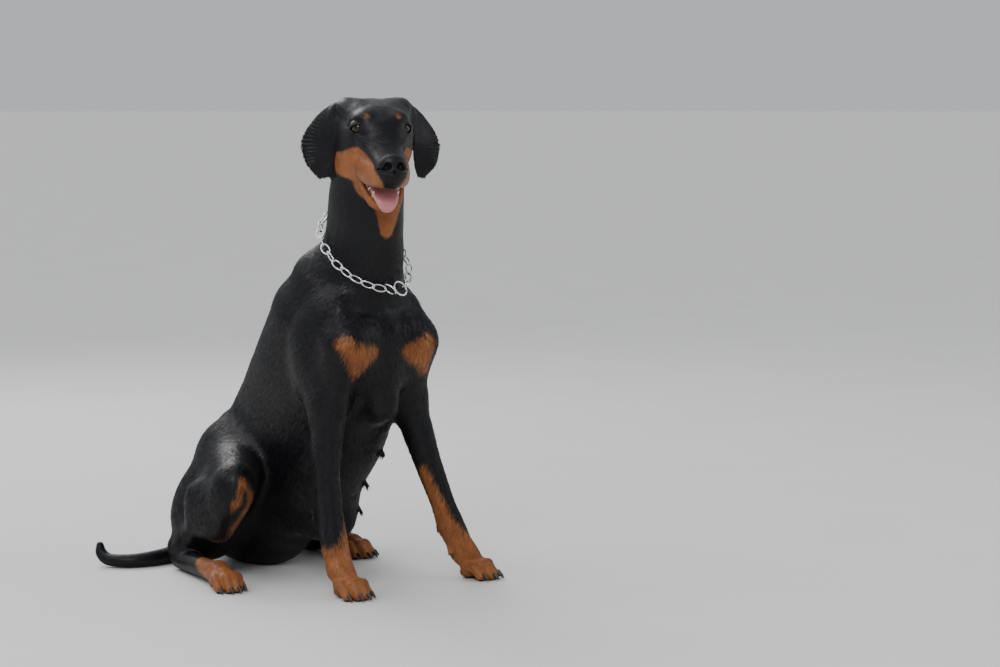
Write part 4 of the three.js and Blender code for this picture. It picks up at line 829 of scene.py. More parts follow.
def rim_mark() -> Field:
    """The dark bare rims of the eyelids."""
    lumps = []
    for hand in (-1, 1):
        eye = in_head(hand * EYE_SIDE, EYE_ALONG, EYE_UP)
        lumps.append(HeadLump(Oval(eye + gaze_of(hand) * 9, (14.5, 10, 9.5), (0, 0, hand * GAZE_OUT))))
    return marks_union(lumps, 2)


def pad_mark() -> Field:
    """The black pads under the toes and behind the wrists."""
    lumps: list[Lump] = []
    for leg in (*FORELEGS.values(), *HINDLEGS.values()):
        for place in TOES:
            ahead = 13 if abs(place) > 1 else 25
            lumps.append(Oval(leg.on_paw(place * TOE_PITCH * 1.08, ahead + 8, 0), (10, 13, 5.5)))
        lumps.append(Oval(leg.on_paw(0, -10, 0), (23, 18, 7)))
    for leg in FORELEGS.values():
        lumps.append(Oval(leg.shift(leg.wrist, -4, -31, -6), (10, 9, 13)))
    return marks_union(lumps, 2)


MASKS: dict[str, Callable[[], Field]] = {
    "rust": rust_marks, "nose": nose_mark, "mouth": mouth_mark, "rim": rim_mark, "pad": pad_mark,
}


# Pieces


def frame_shift() -> Array:
    """How far the row frame's origin lies from the dog's own, in millimetres."""
    eyes = []
    for name in ("eye_left", "eye_right"):
        corners = (Vector(corner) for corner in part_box(name))
        eyes.append(Vector(sum(corners, Vector()) / 2))
    middle = np.array((eyes[0] + eyes[1]) / 2) / MM
    return middle - head_to_world(in_head(0, EYE_ALONG, EYE_UP))


SHIFT = frame_shift()


def to_row(points: Array) -> Array:
    """Millimetres in the dog's frame to metres in the row frame."""
    return (points + SHIFT) * MM


def mesh_object(name: str, vertices: Array, faces: Array) -> bpy.types.Object:
    """A plain mesh object in the row frame.

    Args:
        name: the piece's name.
        vertices: places in millimetres, in the dog's frame.
        faces: rows of three or four vertex numbers.

    Returns:
        The linked object, smooth shaded.
    """
    mesh = bpy.data.meshes.new(name)
    sides = faces.shape[1]
    mesh.vertices.add(len(vertices))
    mesh.vertices.foreach_set("co", to_row(vertices).astype(np.float32).reshape(-1))
    mesh.loops.add(faces.size)
    mesh.loops.foreach_set("vertex_index", faces.astype(np.int32).reshape(-1))
    mesh.polygons.add(len(faces))
    mesh.polygons.foreach_set("loop_start", np.arange(0, faces.size, sides, dtype=np.int32))
    mesh.polygons.foreach_set("loop_total", np.full(len(faces), sides, np.int32))
    mesh.update(calc_edges=True)
    mesh.validate()
    mesh.polygons.foreach_set("use_smooth", np.ones(len(mesh.polygons), bool))
    piece = bpy.data.objects.new(name, mesh)
    bpy.context.scene.collection.objects.link(piece)
    return piece


def places_of(piece: bpy.types.Object) -> Array:
    """The vertices of a piece in millimetres, in the dog's frame."""
    places = np.empty(len(piece.data.vertices) * 3, np.float32)
    piece.data.vertices.foreach_get("co", places)
    return places.reshape(-1, 3).astype(float) / MM - SHIFT


def put_places(piece: bpy.types.Object, places: Array) -> None:
    """Moves the vertices of a piece to places in the dog's frame."""
    piece.data.vertices.foreach_set("co", to_row(places).astype(np.float32).reshape(-1))
    piece.data.update()


def put_attribute(piece: bpy.types.Object, name: str, values: Array) -> None:
    """Stores one number for each vertex of a piece."""
    attribute = piece.data.attributes.new(name, "FLOAT", "POINT")
    attribute.data.foreach_set("value", values.astype(np.float32))


def thinned(piece: bpy.types.Object, triangles: int, kept: Array | None = None) -> None:
    """Decimates a piece to a number of triangles.

    Args:
        piece: the mesh object, changed in place.
        triangles: how many triangles to leave.
        kept: weight of each vertex, 1 where detail has to stay.
    """
    faces = len(piece.data.polygons) * (2 if len(piece.data.polygons[0].vertices) == 4 else 1)
    if faces <= triangles:
        return
    modifier = piece.modifiers.new("thin", "DECIMATE")
    modifier.ratio = triangles / faces
    if kept is not None:
        group = piece.vertex_groups.new(name="kept")
        for weight in np.unique(kept[kept > 0]):
            group.add(np.flatnonzero(kept == weight).tolist(), float(weight), "REPLACE")
        modifier.vertex_group = group.name
        modifier.invert_vertex_group = True
        modifier.vertex_group_factor = 0.6
    graph = bpy.context.evaluated_depsgraph_get()
    mesh = bpy.data.meshes.new_from_object(piece.evaluated_get(graph))
    piece.modifiers.clear()
    piece.vertex_groups.clear()
    old = piece.data
    piece.data = mesh
    bpy.data.meshes.remove(old)


COAT_DEPTH_BODY = 1.6
COAT_DEPTH_HEAD = 0.5


def coat_depth(points: Array) -> Array:
    """How far the skin lies under the solids' surface, in millimetres."""
    away = norm(points - head_to_world(in_head(0, 40, -40)))
    t = np.clip((away - 130) / 60, 0, 1)
    return COAT_DEPTH_HEAD + (COAT_DEPTH_BODY - COAT_DEPTH_HEAD) * t * t * (3 - 2 * t)


def sharpness(points: Array) -> Array:
    """How many times sharper the marks' edges are than on the body, up to about twice on the head."""
    away = norm(points - head_to_world(in_head(0, 60, -50)))
    return 1 + 1.2 * np.clip((190 - away) / 50, 0, 1)


def flow_weights(points: Array) -> tuple[Array, Array]:
    """How much the hair lies as on the head, and as on the legs."""
    away = norm(points - head_to_world(in_head(0, 60, -50)))
    head = np.clip((190 - away) / 40, 0, 1)
    leg = np.clip((250 - points[:, 2]) / 80, 0, 1)
    return head, leg * (1 - head)


def lie_of(points: Array, normals: Array) -> Array:
    """The way the hair lies: back over the head and body, down the legs and ears, along the tail."""
    head, leg = flow_weights(points)
    nose = head_to_world(in_head(0, 190, -20))
    from_nose = points - nose
    from_nose /= norm(from_nose)[:, None]
    body = np.array([0.0, 0.62, -0.78])
    down = np.array([0.0, 0.12, -1.0])
    flow = from_nose * head[:, None] + down * leg[:, None] + body * (1 - head - leg)[:, None]
    toes = np.clip((48 - points[:, 2]) / 20, 0, 1) * (points[:, 1] < 300)
    flow += np.array([0.0, -1.6, 0.6]) * toes[:, None]
    on_tail = np.clip((60 - points[:, 2]) / 20, 0, 1) * (points[:, 1] > 405)
    flow += np.array([-2.6, 0.0, 0.0]) * on_tail[:, None]
    side = np.abs(((points - HEAD_PLACE) @ HEAD_BASIS)[:, 0])
    ear = head * np.clip((side - 60) / 8, 0, 1)
    flow = flow * (1 - ear)[:, None] + np.array([0.0, 0.15, -1.0]) * ear[:, None]
    flow -= normals * np.einsum("ij,ij->i", flow, normals)[:, None]
    return flow / np.maximum(norm(flow), 1e-6)[:, None]


@dataclass
class Skin:
    """The one skin of the dog, with its masks."""

    flesh: Field
    triangles: int = 190000
    piece: bpy.types.Object | None = None
    masks: dict[str, Array] = data_field(default_factory=dict)
    slope: Array | None = None

    def distance(self, points: Array) -> Array:
        """Signed distance to the skin, cut flat at the floor."""
        d = self.flesh.distance(points) + coat_depth(points)
        return np.maximum(d, 0.4 - points[:, 2])

    def build(self) -> bpy.types.Object:
        """Meshes the skin, thins it and gives it exact normals and masks.

        Returns:
            The skin piece.
        """
        coarse, fine = ((3.2, 1.7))
        low, high = np.array([-400.0, -176.0, -9.0]), np.array([262.0, 556.0, 898.0])
        axes = [
            axis_places(low[0], high[0], coarse, [Zone(-112, 130, fine)]),
            axis_places(low[1], high[1], coarse, [Zone(-168, 92, fine)]),
            axis_places(low[2], high[2], coarse, [Zone(0, 45, 1.3 * fine), Zone(704, 888, fine)]),
        ]
        vertices, quads = surface_of(self.distance, axes)
        LOG.info("skin lattice gave %d quads", len(quads))
        self.piece = mesh_object("skin", vertices, quads)
        place = head_to_world(in_head(0, 60, -40))
        kept = (norm(places_of(self.piece) - place) < 150).astype(float)
        thinned(self.piece, self.triangles, kept)
        places = places_of(self.piece)
        d, slope = gradient_of(self.distance, places)
        near = np.abs(d) < 3
        places[near] -= (d[:, None] * slope)[near]
        places[:, 2] = np.maximum(places[:, 2], 0.4)
        put_places(self.piece, places)
        mesh = self.piece.data
        mesh.polygons.foreach_set("use_smooth", np.ones(len(mesh.polygons), bool))
        mesh.normals_split_custom_set_from_vertices(slope.tolist())
        for name, maker in MASKS.items():
            self.masks[name] = -in_chunks(maker().distance, places)
        self.masks["rust"] *= sharpness(places)
        self.masks["head_flow"], self.masks["leg_flow"] = flow_weights(places)
        for name, values in self.masks.items():
            put_attribute(self.piece, name, values)
        self.slope = slope
        return self.piece


def tapered(a: Array, b: Array, radius_a: float, radius_b: float, sides: int = 12) -> tuple[Array, Array]:
    """A closed body that tapers between two balls.

    Args:
        a: middle of the first ball, in millimetres.
        b: middle of the second ball.
        radius_a: radius of the first ball.
        radius_b: radius of the second ball.
        sides: corners of its section.

    Returns:
        Vertices and triangles.
    """
    way = unit(b - a)
    across = unit(np.cross(way, [0.31, 0.87, 0.38]))
    upward = np.cross(way, across)
    caps = [(a, radius_a, angle) for angle in (-60, -30, 0)] + [(b, radius_b, angle) for angle in (0, 30, 60)]
    turns = np.arange(sides) * 2 * math.pi / sides
    rim = np.cos(turns)[:, None] * across + np.sin(turns)[:, None] * upward
    rings = []
    for middle, radius, angle in caps:
        s, c = math.sin(math.radians(angle)), math.cos(math.radians(angle))
        rings.append(middle + way * radius * s + rim * radius * c)
    vertices = np.concatenate([*rings, (a - way * radius_a)[None], (b + way * radius_b)[None]])
    faces = []
    for ring in range(len(caps) - 1):
        for n in range(sides):
            m = (n + 1) % sides
            low, high = ring * sides, (ring + 1) * sides
            faces += [(low + n, low + m, high + m), (low + n, high + m, high + n)]
    first, last = len(vertices) - 2, len(vertices) - 1
    top = (len(caps) - 1) * sides
    for n in range(sides):
        m = (n + 1) % sides
        faces += [(first, m, n), (last, top + n, top + m)]
    return vertices, np.array(faces)


def merged(name: str, bodies: Sequence[tuple[Array, Array]]) -> bpy.types.Object:
    """Several closed bodies as one piece."""
    vertices, faces, start = [], [], 0
    for points, triangles in bodies:
        vertices.append(points)
        faces.append(triangles + start)
        start += len(points)
    return mesh_object(name, np.concatenate(vertices), np.concatenate(faces))


def ball_body(centre: Array, radius: float, way: Array, rings: int = 48,
              sides: int = 64) -> tuple[Array, Array]:
    """A ball whose poles lie along a way."""
    across = unit(np.cross(UPWARD, way))
    upward = np.cross(way, across)
    turns = np.arange(sides) * 2 * math.pi / sides
    rim = np.cos(turns)[:, None] * across + np.sin(turns)[:, None] * upward
    turns_down = np.arange(1, rings) * math.pi / rings
    rows = [centre + radius * (math.cos(t) * way + math.sin(t) * rim) for t in turns_down]
    vertices = np.concatenate([*rows, (centre + radius * way)[None], (centre - radius * way)[None]])
    faces = []
    front, back = len(vertices) - 2, len(vertices) - 1
    for n in range(sides):
        m = (n + 1) % sides
        faces += [(front, n, m), (back, (rings - 2) * sides + m, (rings - 2) * sides + n)]
        for ring in range(rings - 2):
            low, high = ring * sides, (ring + 1) * sides
            faces += [(low + n, high + n, high + m), (low + n, high + m, low + m)]
    return vertices, np.array(faces)


@dataclass
class Eye:
    """One eye ball, with its iris and pupil marked by their distance from the gaze."""

    hand: int

    def build(self) -> bpy.types.Object:
        """Makes the ball.

        Returns:
            The eye piece.
        """
        side = "left" if self.hand > 0 else "right"
        centre = head_to_world(in_head(self.hand * EYE_SIDE, EYE_ALONG, EYE_UP))
        gaze = HEAD_BASIS @ gaze_of(self.hand)
        vertices, faces = ball_body(centre, EYE_RADIUS, gaze)
        piece = mesh_object(f"fine_eye_{side}", vertices, faces)
        q = vertices - centre
        run = q @ gaze
        away = np.where(run > 0, norm(q - run[:, None] * gaze), 2 * EYE_RADIUS)
        put_attribute(piece, "ring", away)
        piece.data.materials.append(eye_paint())
        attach(piece, "root")
        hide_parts(f"eye_{side}")
        return piece


@dataclass(frozen=True)
class Arch:
    """One row of teeth: its width, depth and front, and where its canines stand."""

    name: str
    width: float
    depth: float
    front: float
    canine: float
    lower: bool

    def place(self, angle: float, up: float, out: float = 0.0) -> Array:
        """A place along the row, up from the gum towards the other row."""
        s, c = math.sin(math.radians(angle)), math.cos(math.radians(angle))
        side = math.copysign(abs(s) ** 0.7, s) * (self.width + out)
        along = self.front - (1 - c) * self.depth + out * c
        place = on_jaw(side, along, 9 + up) if self.lower else in_head(side, along, -66 - up)
        return head_to_world(place)


ARCHES = (Arch("teeth_lower", 29, 62, 133, 36, True), Arch("teeth_upper", 25, 66, 148, 38, False))
INCISORS = (4.5, 14.0, 24.0)
CHEEK_TEETH = (56.0, 66.0, 76.0)
GUM_STEPS = (-78, -65, -52, -39, -26, -13, 0, 13, 26, 39, 52, 65, 78)


@dataclass(frozen=True)
class WetFinish:
    """Moist flesh or ivory: its tint, its roughness and how fine its grain is."""

    tint: tuple[float, float, float, float]
    rough: float
    grain: float


TONGUE_FINISH = WetFinish((0.62, 0.23, 0.235, 1), 0.3, 520)
GUM_FINISH = WetFinish((0.21, 0.06, 0.06, 1), 0.3, 400)
IVORY_FINISH = WetFinish((0.78, 0.72, 0.56, 1), 0.2, 200)


@dataclass
class Mouth:
    """The tongue, the gums and the teeth."""

    tongue_step: float = 1.1
    tongue_reach: float = 66.0
    gum_radius: float = 3.0
    incisor_rise: float = 5.5
    canine_rise: float = 14.0
    cheek_rise: float = 6.0

    def tongue(self) -> bpy.types.Object:
        """The tongue, which replaces the solid one.

        Returns:
            The tongue piece.
        """
        field = Field(HEAD_BASIS, HEAD_PLACE)
        tongue_flesh(field)
        middle = head_to_world(on_jaw(0, 104, 10))
        axes = [axis_places(c - self.tongue_reach, c + self.tongue_reach, self.tongue_step) for c in middle]
        vertices, quads = surface_of(field.distance, axes)
        d, slope = gradient_of(field.distance, vertices)
        piece = mesh_object("fine_tongue", vertices - d[:, None] * slope, quads)
        piece.data.normals_split_custom_set_from_vertices(slope.tolist())
        piece.data.materials.append(wet_paint("tongue_wet", TONGUE_FINISH))
        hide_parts("tongue")
        return piece

    def gum(self, arch: Arch) -> bpy.types.Object:
        """The gum of one row of teeth."""
        steps = zip(GUM_STEPS, GUM_STEPS[1:])
        radius = self.gum_radius
        piece = merged(f"gum_of_{arch.name}",
                       [tapered(arch.place(a, 0), arch.place(b, 0), radius, radius) for a, b in steps])
        piece.data.materials.append(wet_paint(f"gum_{arch.name}", GUM_FINISH))
        return piece

    def teeth(self, arch: Arch) -> bpy.types.Object:
        """One row of teeth, which replaces the solid one."""
        teeth = []
        for sign in (-1, 1):
            for angle in INCISORS:
                teeth.append(tapered(arch.place(sign * angle, 0), arch.place(sign * angle, self.incisor_rise),
                                     2.5, 1.5))
            out = 3.5 if arch.lower else 2.0
            root = arch.place(sign * arch.canine, 0)
            teeth.append(tapered(root, arch.place(sign * arch.canine, self.canine_rise, out), 4.2, 1.3))
            for angle in CHEEK_TEETH:
                teeth.append(tapered(arch.place(sign * angle, 0), arch.place(sign * angle, self.cheek_rise),
                                     3.2, 1.4))
        piece = merged(f"fine_{arch.name}", teeth)
        piece.data.materials.append(wet_paint(f"ivory_{arch.name}", IVORY_FINISH))
        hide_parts(arch.name)
        return piece

    def build(self) -> list[bpy.types.Object]:
        """Makes all pieces of the mouth.

        Returns:
            The tongue, and a gum and a row of teeth for each arch.
        """
        made = [self.tongue()]
        for arch in ARCHES:
            made += [self.gum(arch), self.teeth(arch)]
        for piece in made:
            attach(piece, "root")
        return made


@dataclass
class Claws:
    """All claws, with the dew claws of the forelegs."""

    root_radius: float = 3.7
    tip_radius: float = 1.7

    def build(self) -> bpy.types.Object:
        """Makes the claws.

        Returns:
            The piece with all claws.
        """
        claws = []
        for legs, size in ((FORELEGS, 1.0), (HINDLEGS, 0.96)):
            for leg in legs.values():
                for place in TOES:
                    ahead = 13 if abs(place) > 1 else 25
                    root = leg.on_paw(place * TOE_PITCH * 1.1, ahead + 19, 12, size)
                    tip = leg.on_paw(place * TOE_PITCH * 1.14, ahead + 28, 5, size)
                    claws.append(tapered(root, tip, self.root_radius * size, self.tip_radius * size))
        for leg in FORELEGS.values():
            root = leg.pastern * 0.65 + leg.wrist * 0.35 + at(-leg.hand * 20, -4, 0)
            claws.append(tapered(root + at(-leg.hand * 4, 5, -15), root + at(-leg.hand * 3, 10, -25), 3, 1.6))
        piece = merged("claws", claws)
        paint = Paint("claw_horn")
        place = paint.node("ShaderNodeTexCoord").outputs["Object"]
        tone = mixed(paint, noise(paint, place, 180), (0.012, 0.01, 0.009, 1), (0.045, 0.036, 0.03, 1))
        paint.feed(Base_Color=tone, Roughness=0.32)
        piece.data.materials.append(paint.material)
        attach(piece, "root")
        return piece


# What repeats, by Geometry Nodes


def euler_rows(x: Array, y: Array, z: Array) -> Array:
    """Euler angles of frames given by their three axes, one row each."""
    about_y = np.arcsin(np.clip(-x[:, 2], -1, 1))
    about_x = np.arctan2(y[:, 2], z[:, 2])
    about_z = np.arctan2(x[:, 1], x[:, 0])
    return np.column_stack([about_x, about_y, about_z])


def repeat_tree() -> bpy.types.NodeTree:
    """The node group that sets a form on every point and gives it a patch of the bake map."""
    tree = bpy.data.node_groups.new("repeat_form", "GeometryNodeTree")
    for name, kind in (("Points", "NodeSocketGeometry"), ("Form", "NodeSocketObject"),
                       ("Finish", "NodeSocketMaterial"), ("Patch", "NodeSocketFloat")):
        tree.interface.new_socket(name, in_out="INPUT", socket_type=kind)
    tree.interface.new_socket("Geometry", in_out="OUTPUT", socket_type="NodeSocketGeometry")
    entry = tree.nodes.new("NodeGroupInput").outputs

    def named(name: str, kind: str) -> bpy.types.NodeSocket:
        node = add_node(tree, "GeometryNodeInputNamedAttribute", {"Name": name}, data_type=kind)
        return node.outputs["Attribute"]

    form = add_node(tree, "GeometryNodeObjectInfo", {"Object": entry["Form"]}).outputs["Geometry"]
    turn = add_node(tree, "FunctionNodeEulerToRotation", {0: named("turn", "FLOAT_VECTOR")}).outputs[0]
    grow = named("grow", "FLOAT_VECTOR")
    placed = add_node(tree, "GeometryNodeInstanceOnPoints",
                      {"Points": entry["Points"], "Instance": form, "Rotation": turn, "Scale": grow})
    real = add_node(tree, "GeometryNodeRealizeInstances", {0: placed.outputs[0]}).outputs[0]
    patch = add_node(tree, "ShaderNodeVectorMath", {0: named("form_uv", "FLOAT_VECTOR")}, operation="SCALE")
    tree.links.new(entry["Patch"], patch.inputs["Scale"])
    total = add_node(tree, "ShaderNodeVectorMath", {0: named("root_uv", "FLOAT_VECTOR"), 1: patch.outputs[0]},
                     operation="ADD").outputs[0]
    stored = add_node(tree, "GeometryNodeStoreNamedAttribute", {"Geometry": real, "Name": "OFBake"},
                      data_type="FLOAT2", domain="CORNER")
    tree.links.new(total, stored.inputs["Value"])
    painted = add_node(tree, "GeometryNodeSetMaterial",
                       {"Geometry": stored.outputs[0], "Material": entry["Finish"]})
    tree.links.new(painted.outputs[0], tree.nodes.new("NodeGroupOutput").inputs[0])
    return tree


def put_vectors(mesh: bpy.types.Mesh, name: str, rows: Array) -> None:
    """Stores a vector for each vertex."""
    attribute = mesh.attributes.new(name, "FLOAT_VECTOR", "POINT")
    attribute.data.foreach_set("vector", rows.astype(np.float32).reshape(-1))


def vectors_of(mesh: bpy.types.Mesh, name: str) -> Array:
    """Reads a vector for each vertex."""
    rows = np.empty(len(mesh.vertices) * 3, np.float32)
    mesh.attributes[name].data.foreach_get("vector", rows)
    return rows.reshape(-1, 3)


@dataclass
class Repeats:
    """A form set on many roots as one plain mesh."""

    name: str
    roots: Array
    turns: Array
    sizes: Array
    finish: bpy.types.Material
    root_uv: Array
    numbers: dict[str, Array] = data_field(default_factory=dict)
    shade: Array | None = None

    def build(self, form: bpy.types.Object, tree: bpy.types.NodeTree, patch: float) -> bpy.types.Object:
        """Sets the form on the roots.

        Args:
            form: the object to repeat.
            tree: the node group.
            patch: how wide each patch of the bake map is.

        Returns:
            The piece, with no modifier left.
        """
        mesh = bpy.data.meshes.new(self.name + "_roots")
        mesh.vertices.add(len(self.roots))
        mesh.vertices.foreach_set("co", to_row(self.roots).astype(np.float32).reshape(-1))
        put_vectors(mesh, "turn", self.turns)
        put_vectors(mesh, "grow", self.sizes * MM)
        put_vectors(mesh, "root_uv", self.root_uv)
        if self.shade is not None:
            put_vectors(mesh, "shade_way", self.shade)
        piece = bpy.data.objects.new(self.name, mesh)
        for name, values in self.numbers.items():
            put_attribute(piece, name, values)
        bpy.context.scene.collection.objects.link(piece)
        modifier = piece.modifiers.new("repeat", "NODES")
        modifier.node_group = tree
        inputs = {item.name: item.identifier for item in tree.interface.items_tree if item.in_out == "INPUT"}
        modifier[inputs["Form"]] = form
        modifier[inputs["Finish"]] = self.finish
        modifier[inputs["Patch"]] = patch
        graph = bpy.context.evaluated_depsgraph_get()
        made = bpy.data.meshes.new_from_object(piece.evaluated_get(graph))
        piece.modifiers.clear()
        piece.data = made
        bpy.data.meshes.remove(mesh)
        made.polygons.foreach_set("use_smooth", np.ones(len(made.polygons), bool))
        if self.shade is not None:
            ways = vectors_of(made, "shade_way")
            made.normals_split_custom_set_from_vertices(ways.tolist())
        for name in ("turn", "grow", "root_uv", "form_uv", "shade_way"):
            if name in made.attributes:
                made.attributes.remove(made.attributes[name])
        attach(piece, "root")
        return piece


def form_object(name: str, vertices: Array, faces: Sequence[Sequence[int]], uv: Array) -> bpy.types.Object:
    """A form to repeat, one unit long, kept out of the scene."""
    mesh = bpy.data.meshes.new(name)
    mesh.from_pydata(vertices.tolist(), [], [list(map(int, face)) for face in faces])
    put_vectors(mesh, "form_uv", np.column_stack([uv, np.zeros(len(uv))]))
    return bpy.data.objects.new(name, mesh)


def tuft_form() -> bpy.types.Object:
    """A thin closed sliver that lies along y and ends in a point."""
    vertices = np.array([[-0.5, 0, 0], [0.5, 0, 0], [0, 0, 1], [0, 1, 0.35]])
    uv = np.array([[0, 0], [1, 0], [0.5, 0.3], [0.5, 1]])
    return form_object("tuft_form", vertices, [(0, 1, 2), (0, 3, 1), (1, 3, 2), (2, 3, 0)], uv)


UNWRAP_TRIANGLES = 6000


def unwrap_lookup(skin: bpy.types.Object) -> Callable[[Array], Array]:
    """Places on an unwrap of the skin's own shape.

    Args:
        skin: the skin piece.

    Returns:
        A function from millimetre places to map places.
    """
    proxy = bpy.data.objects.new("proxy", skin.data.copy())
    bpy.context.scene.collection.objects.link(proxy)
    thinned(proxy, UNWRAP_TRIANGLES)
    for other in bpy.context.selected_objects:
        other.select_set(False)
    bpy.context.view_layer.objects.active = proxy
    proxy.select_set(True)
    bpy.ops.object.mode_set(mode="EDIT")
    bpy.ops.mesh.select_all(action="SELECT")
    bpy.ops.uv.smart_project(angle_limit=math.radians(66), island_margin=0.006)
    bpy.ops.object.mode_set(mode="OBJECT")
    mesh = proxy.data
    mesh.calc_loop_triangles()
    corners = np.empty(len(mesh.loop_triangles) * 3, np.int32)
    mesh.loop_triangles.foreach_get("vertices", corners)
    loops = np.empty(len(mesh.loop_triangles) * 3, np.int32)
    mesh.loop_triangles.foreach_get("loops", loops)
    corners, loops = corners.reshape(-1, 3), loops.reshape(-1, 3)
    flat = np.empty(len(mesh.loops) * 2, np.float32)
    mesh.uv_layers.active.uv.foreach_get("vector", flat)
    uv = flat.reshape(-1, 2)[loops]
    places = places_of(proxy)
    triangles = places[corners]
    tree = BVHTree.FromPolygons(places.tolist(), corners.tolist())
    bpy.data.objects.remove(proxy)

    def lookup(points: Array) -> Array:
        hits = [tree.find_nearest(point) for point in points.tolist()]
        which = np.array([hit[2] for hit in hits])
        on = np.array([hit[0][:] for hit in hits])
        a, b, c = triangles[which, 0], triangles[which, 1], triangles[which, 2]
        whole = np.maximum(norm(np.cross(b - a, c - a)), 1e-9)
        share_b = norm(np.cross(on - a, c - a)) / whole
        share_c = norm(np.cross(b - a, on - a)) / whole
        share_a = np.clip(1 - share_b - share_c, 0, 1)
        shares = np.column_stack([share_a, share_b, share_c])[:, :, None]
        return np.clip((uv[which] * shares).sum(1), 0, 0.996)

    return lookup


class CoatPart(Enum):
    """The stretches of the coat, each a piece of its own."""

    HEAD = "head"
    TRUNK = "trunk"
    LOW_LEFT = "low_left"
    LOW_RIGHT = "low_right"


TUFTS_EACH = 47000
NECK_UP = 640.0
LEGS_UP = 300.0
BAKE_PATCH = 0.003


@dataclass
class Coat:
    """The short coat: thin tufts that lie along the skin."""

    skin: Skin
    seed: int = 11

    def build(self, tree: bpy.types.NodeTree) -> list[bpy.types.Object]:
        """Sets the tufts over the skin in several pieces.

        Args:
            tree: the node group that repeats a form.

        Returns:
            The coat pieces.
        """
        rng = np.random.default_rng(self.seed)
        mesh = self.skin.piece.data
        mesh.calc_loop_triangles()
        corners = np.empty(len(mesh.loop_triangles) * 3, np.int32)
        mesh.loop_triangles.foreach_get("vertices", corners)
        corners = corners.reshape(-1, 3)
        places = places_of(self.skin.piece)
        middles = places[corners].mean(1)
        area = norm(np.cross(places[corners[:, 1]] - places[corners[:, 0]],
                             places[corners[:, 2]] - places[corners[:, 0]])) / 2
        masks = self.skin.masks
        bare = np.maximum.reduce([masks["nose"] + 1, masks["mouth"] + 1, masks["rim"] + 0.6, masks["pad"]])
        area[(bare[corners].max(1) > 0) | (middles[:, 2] < 4)] = 0
        head, _ = flow_weights(middles)
        paw = np.clip((60 - middles[:, 2]) / 20, 0, 1)
        area *= 1 + 2.2 * np.maximum(head, paw)
        high = middles[:, 2] > NECK_UP
        low = middles[:, 2] < LEGS_UP
        parts = {
            CoatPart.HEAD: high,
            CoatPart.TRUNK: ~high & ~low,
            CoatPart.LOW_LEFT: low & (middles[:, 0] > 0),
            CoatPart.LOW_RIGHT: low & (middles[:, 0] <= 0),
        }
        lookup = unwrap_lookup(self.skin.piece)
        form = tuft_form()
        finish = coat_paint("coat_tufts", False)
        made = []
        count = TUFTS_EACH // 1
        for part in CoatPart:
            share = np.cumsum(area * parts[part])
            chosen = np.searchsorted(share, rng.random(count) * share[-1])
            mix = rng.random((count, 2))
            over = mix.sum(1) > 1
            mix[over] = 1 - mix[over]
            shares = np.column_stack([1 - mix.sum(1), mix])[:, :, None]
            trio = corners[chosen]
            roots = (places[trio] * shares).sum(1)
            normals = (self.skin.slope[trio] * shares).sum(1)
            normals /= norm(normals)[:, None]
            rust = (masks["rust"][trio] * shares[:, :, 0]).sum(1)
            tufts = self.tufts(part, roots, normals, rust, rng, lookup, finish)
            made.append(tufts.build(form, tree, BAKE_PATCH))
        return made

    def tufts(self, part: CoatPart, roots: Array, normals: Array, rust: Array, rng: np.random.Generator,
              lookup: Callable[[Array], Array], finish: bpy.types.Material) -> Repeats:
        """Gives every tuft its lie, size and shade."""
        count = len(roots)
        head, _ = flow_weights(roots)
        small = np.maximum(head, np.clip((60 - roots[:, 2]) / 20, 0, 1))
        lie = lie_of(roots, normals)
        yaw = rng.normal(0, 0.16, count)[:, None]
        lie = lie * np.cos(yaw) + np.cross(normals, lie) * np.sin(yaw)
        lift = np.abs(rng.normal(0.05, 0.03, count))[:, None]
        y = lie * np.cos(lift) + normals * np.sin(lift)
        x = np.cross(y, normals)
        x /= norm(x)[:, None]
        z = np.cross(x, y)
        length = (11.5 - 6.8 * small) * rng.uniform(0.75, 1.25, count)
        width = (2.3 - 1.2 * small) * rng.uniform(0.8, 1.2, count)
        sizes = np.column_stack([width, length, 0.5 - 0.25 * small])
        shade = normals + rng.normal(0, 0.09, (count, 3)) + 0.1 * lie
        shade /= norm(shade)[:, None]
        uv = lookup(roots)
        numbers = {"rust": rust, "strand": rng.random(count)}
        return Repeats(f"coat_{part.value}", roots - 0.12 * normals, euler_rows(x, y, z), sizes, finish,
                       np.column_stack([uv, np.zeros(count)]), numbers, shade)


LINK = (29.0, 17.0, 3.2)  # length, width and wire of a link
RING = (31.0, 31.0, 3.8)
CHAIN_STAND_OFF = {"link": 9.0, "ring": 12.6}
CHAIN_PATCH = 0.012


def wire_loop(name: str, length: float, width: float, wire: float, steps: int = 40,
              sides: int = 10) -> bpy.types.Object:
    """An oval loop of round wire, long along x and flat in z."""
    turns = np.arange(steps) * 2 * math.pi / steps
    half_long, half_wide = (length - wire) / 2, (width - wire) / 2
    line = np.column_stack([np.cos(turns) * half_long, np.sin(turns) * half_wide, turns * 0])
    out = np.column_stack([np.cos(turns) / (length - wire), np.sin(turns) / (width - wire), turns * 0])
    out /= norm(out)[:, None]
    around = np.arange(sides) * 2 * math.pi / sides
    rows = [line + wire / 2 * (math.cos(t) * out + math.sin(t) * UPWARD) for t in around]
    vertices = np.stack(rows, 1).reshape(-1, 3)
    faces = []
    for n in range(steps):
        for k in range(sides):
            m, j = (n + 1) % steps, (k + 1) % sides
            faces.append((n * sides + k, m * sides + k, m * sides + j, n * sides + j))
    uv = np.column_stack([np.repeat(turns, sides), np.tile(around, steps)]) / (2 * math.pi)
    return form_object(name, vertices, faces, uv)


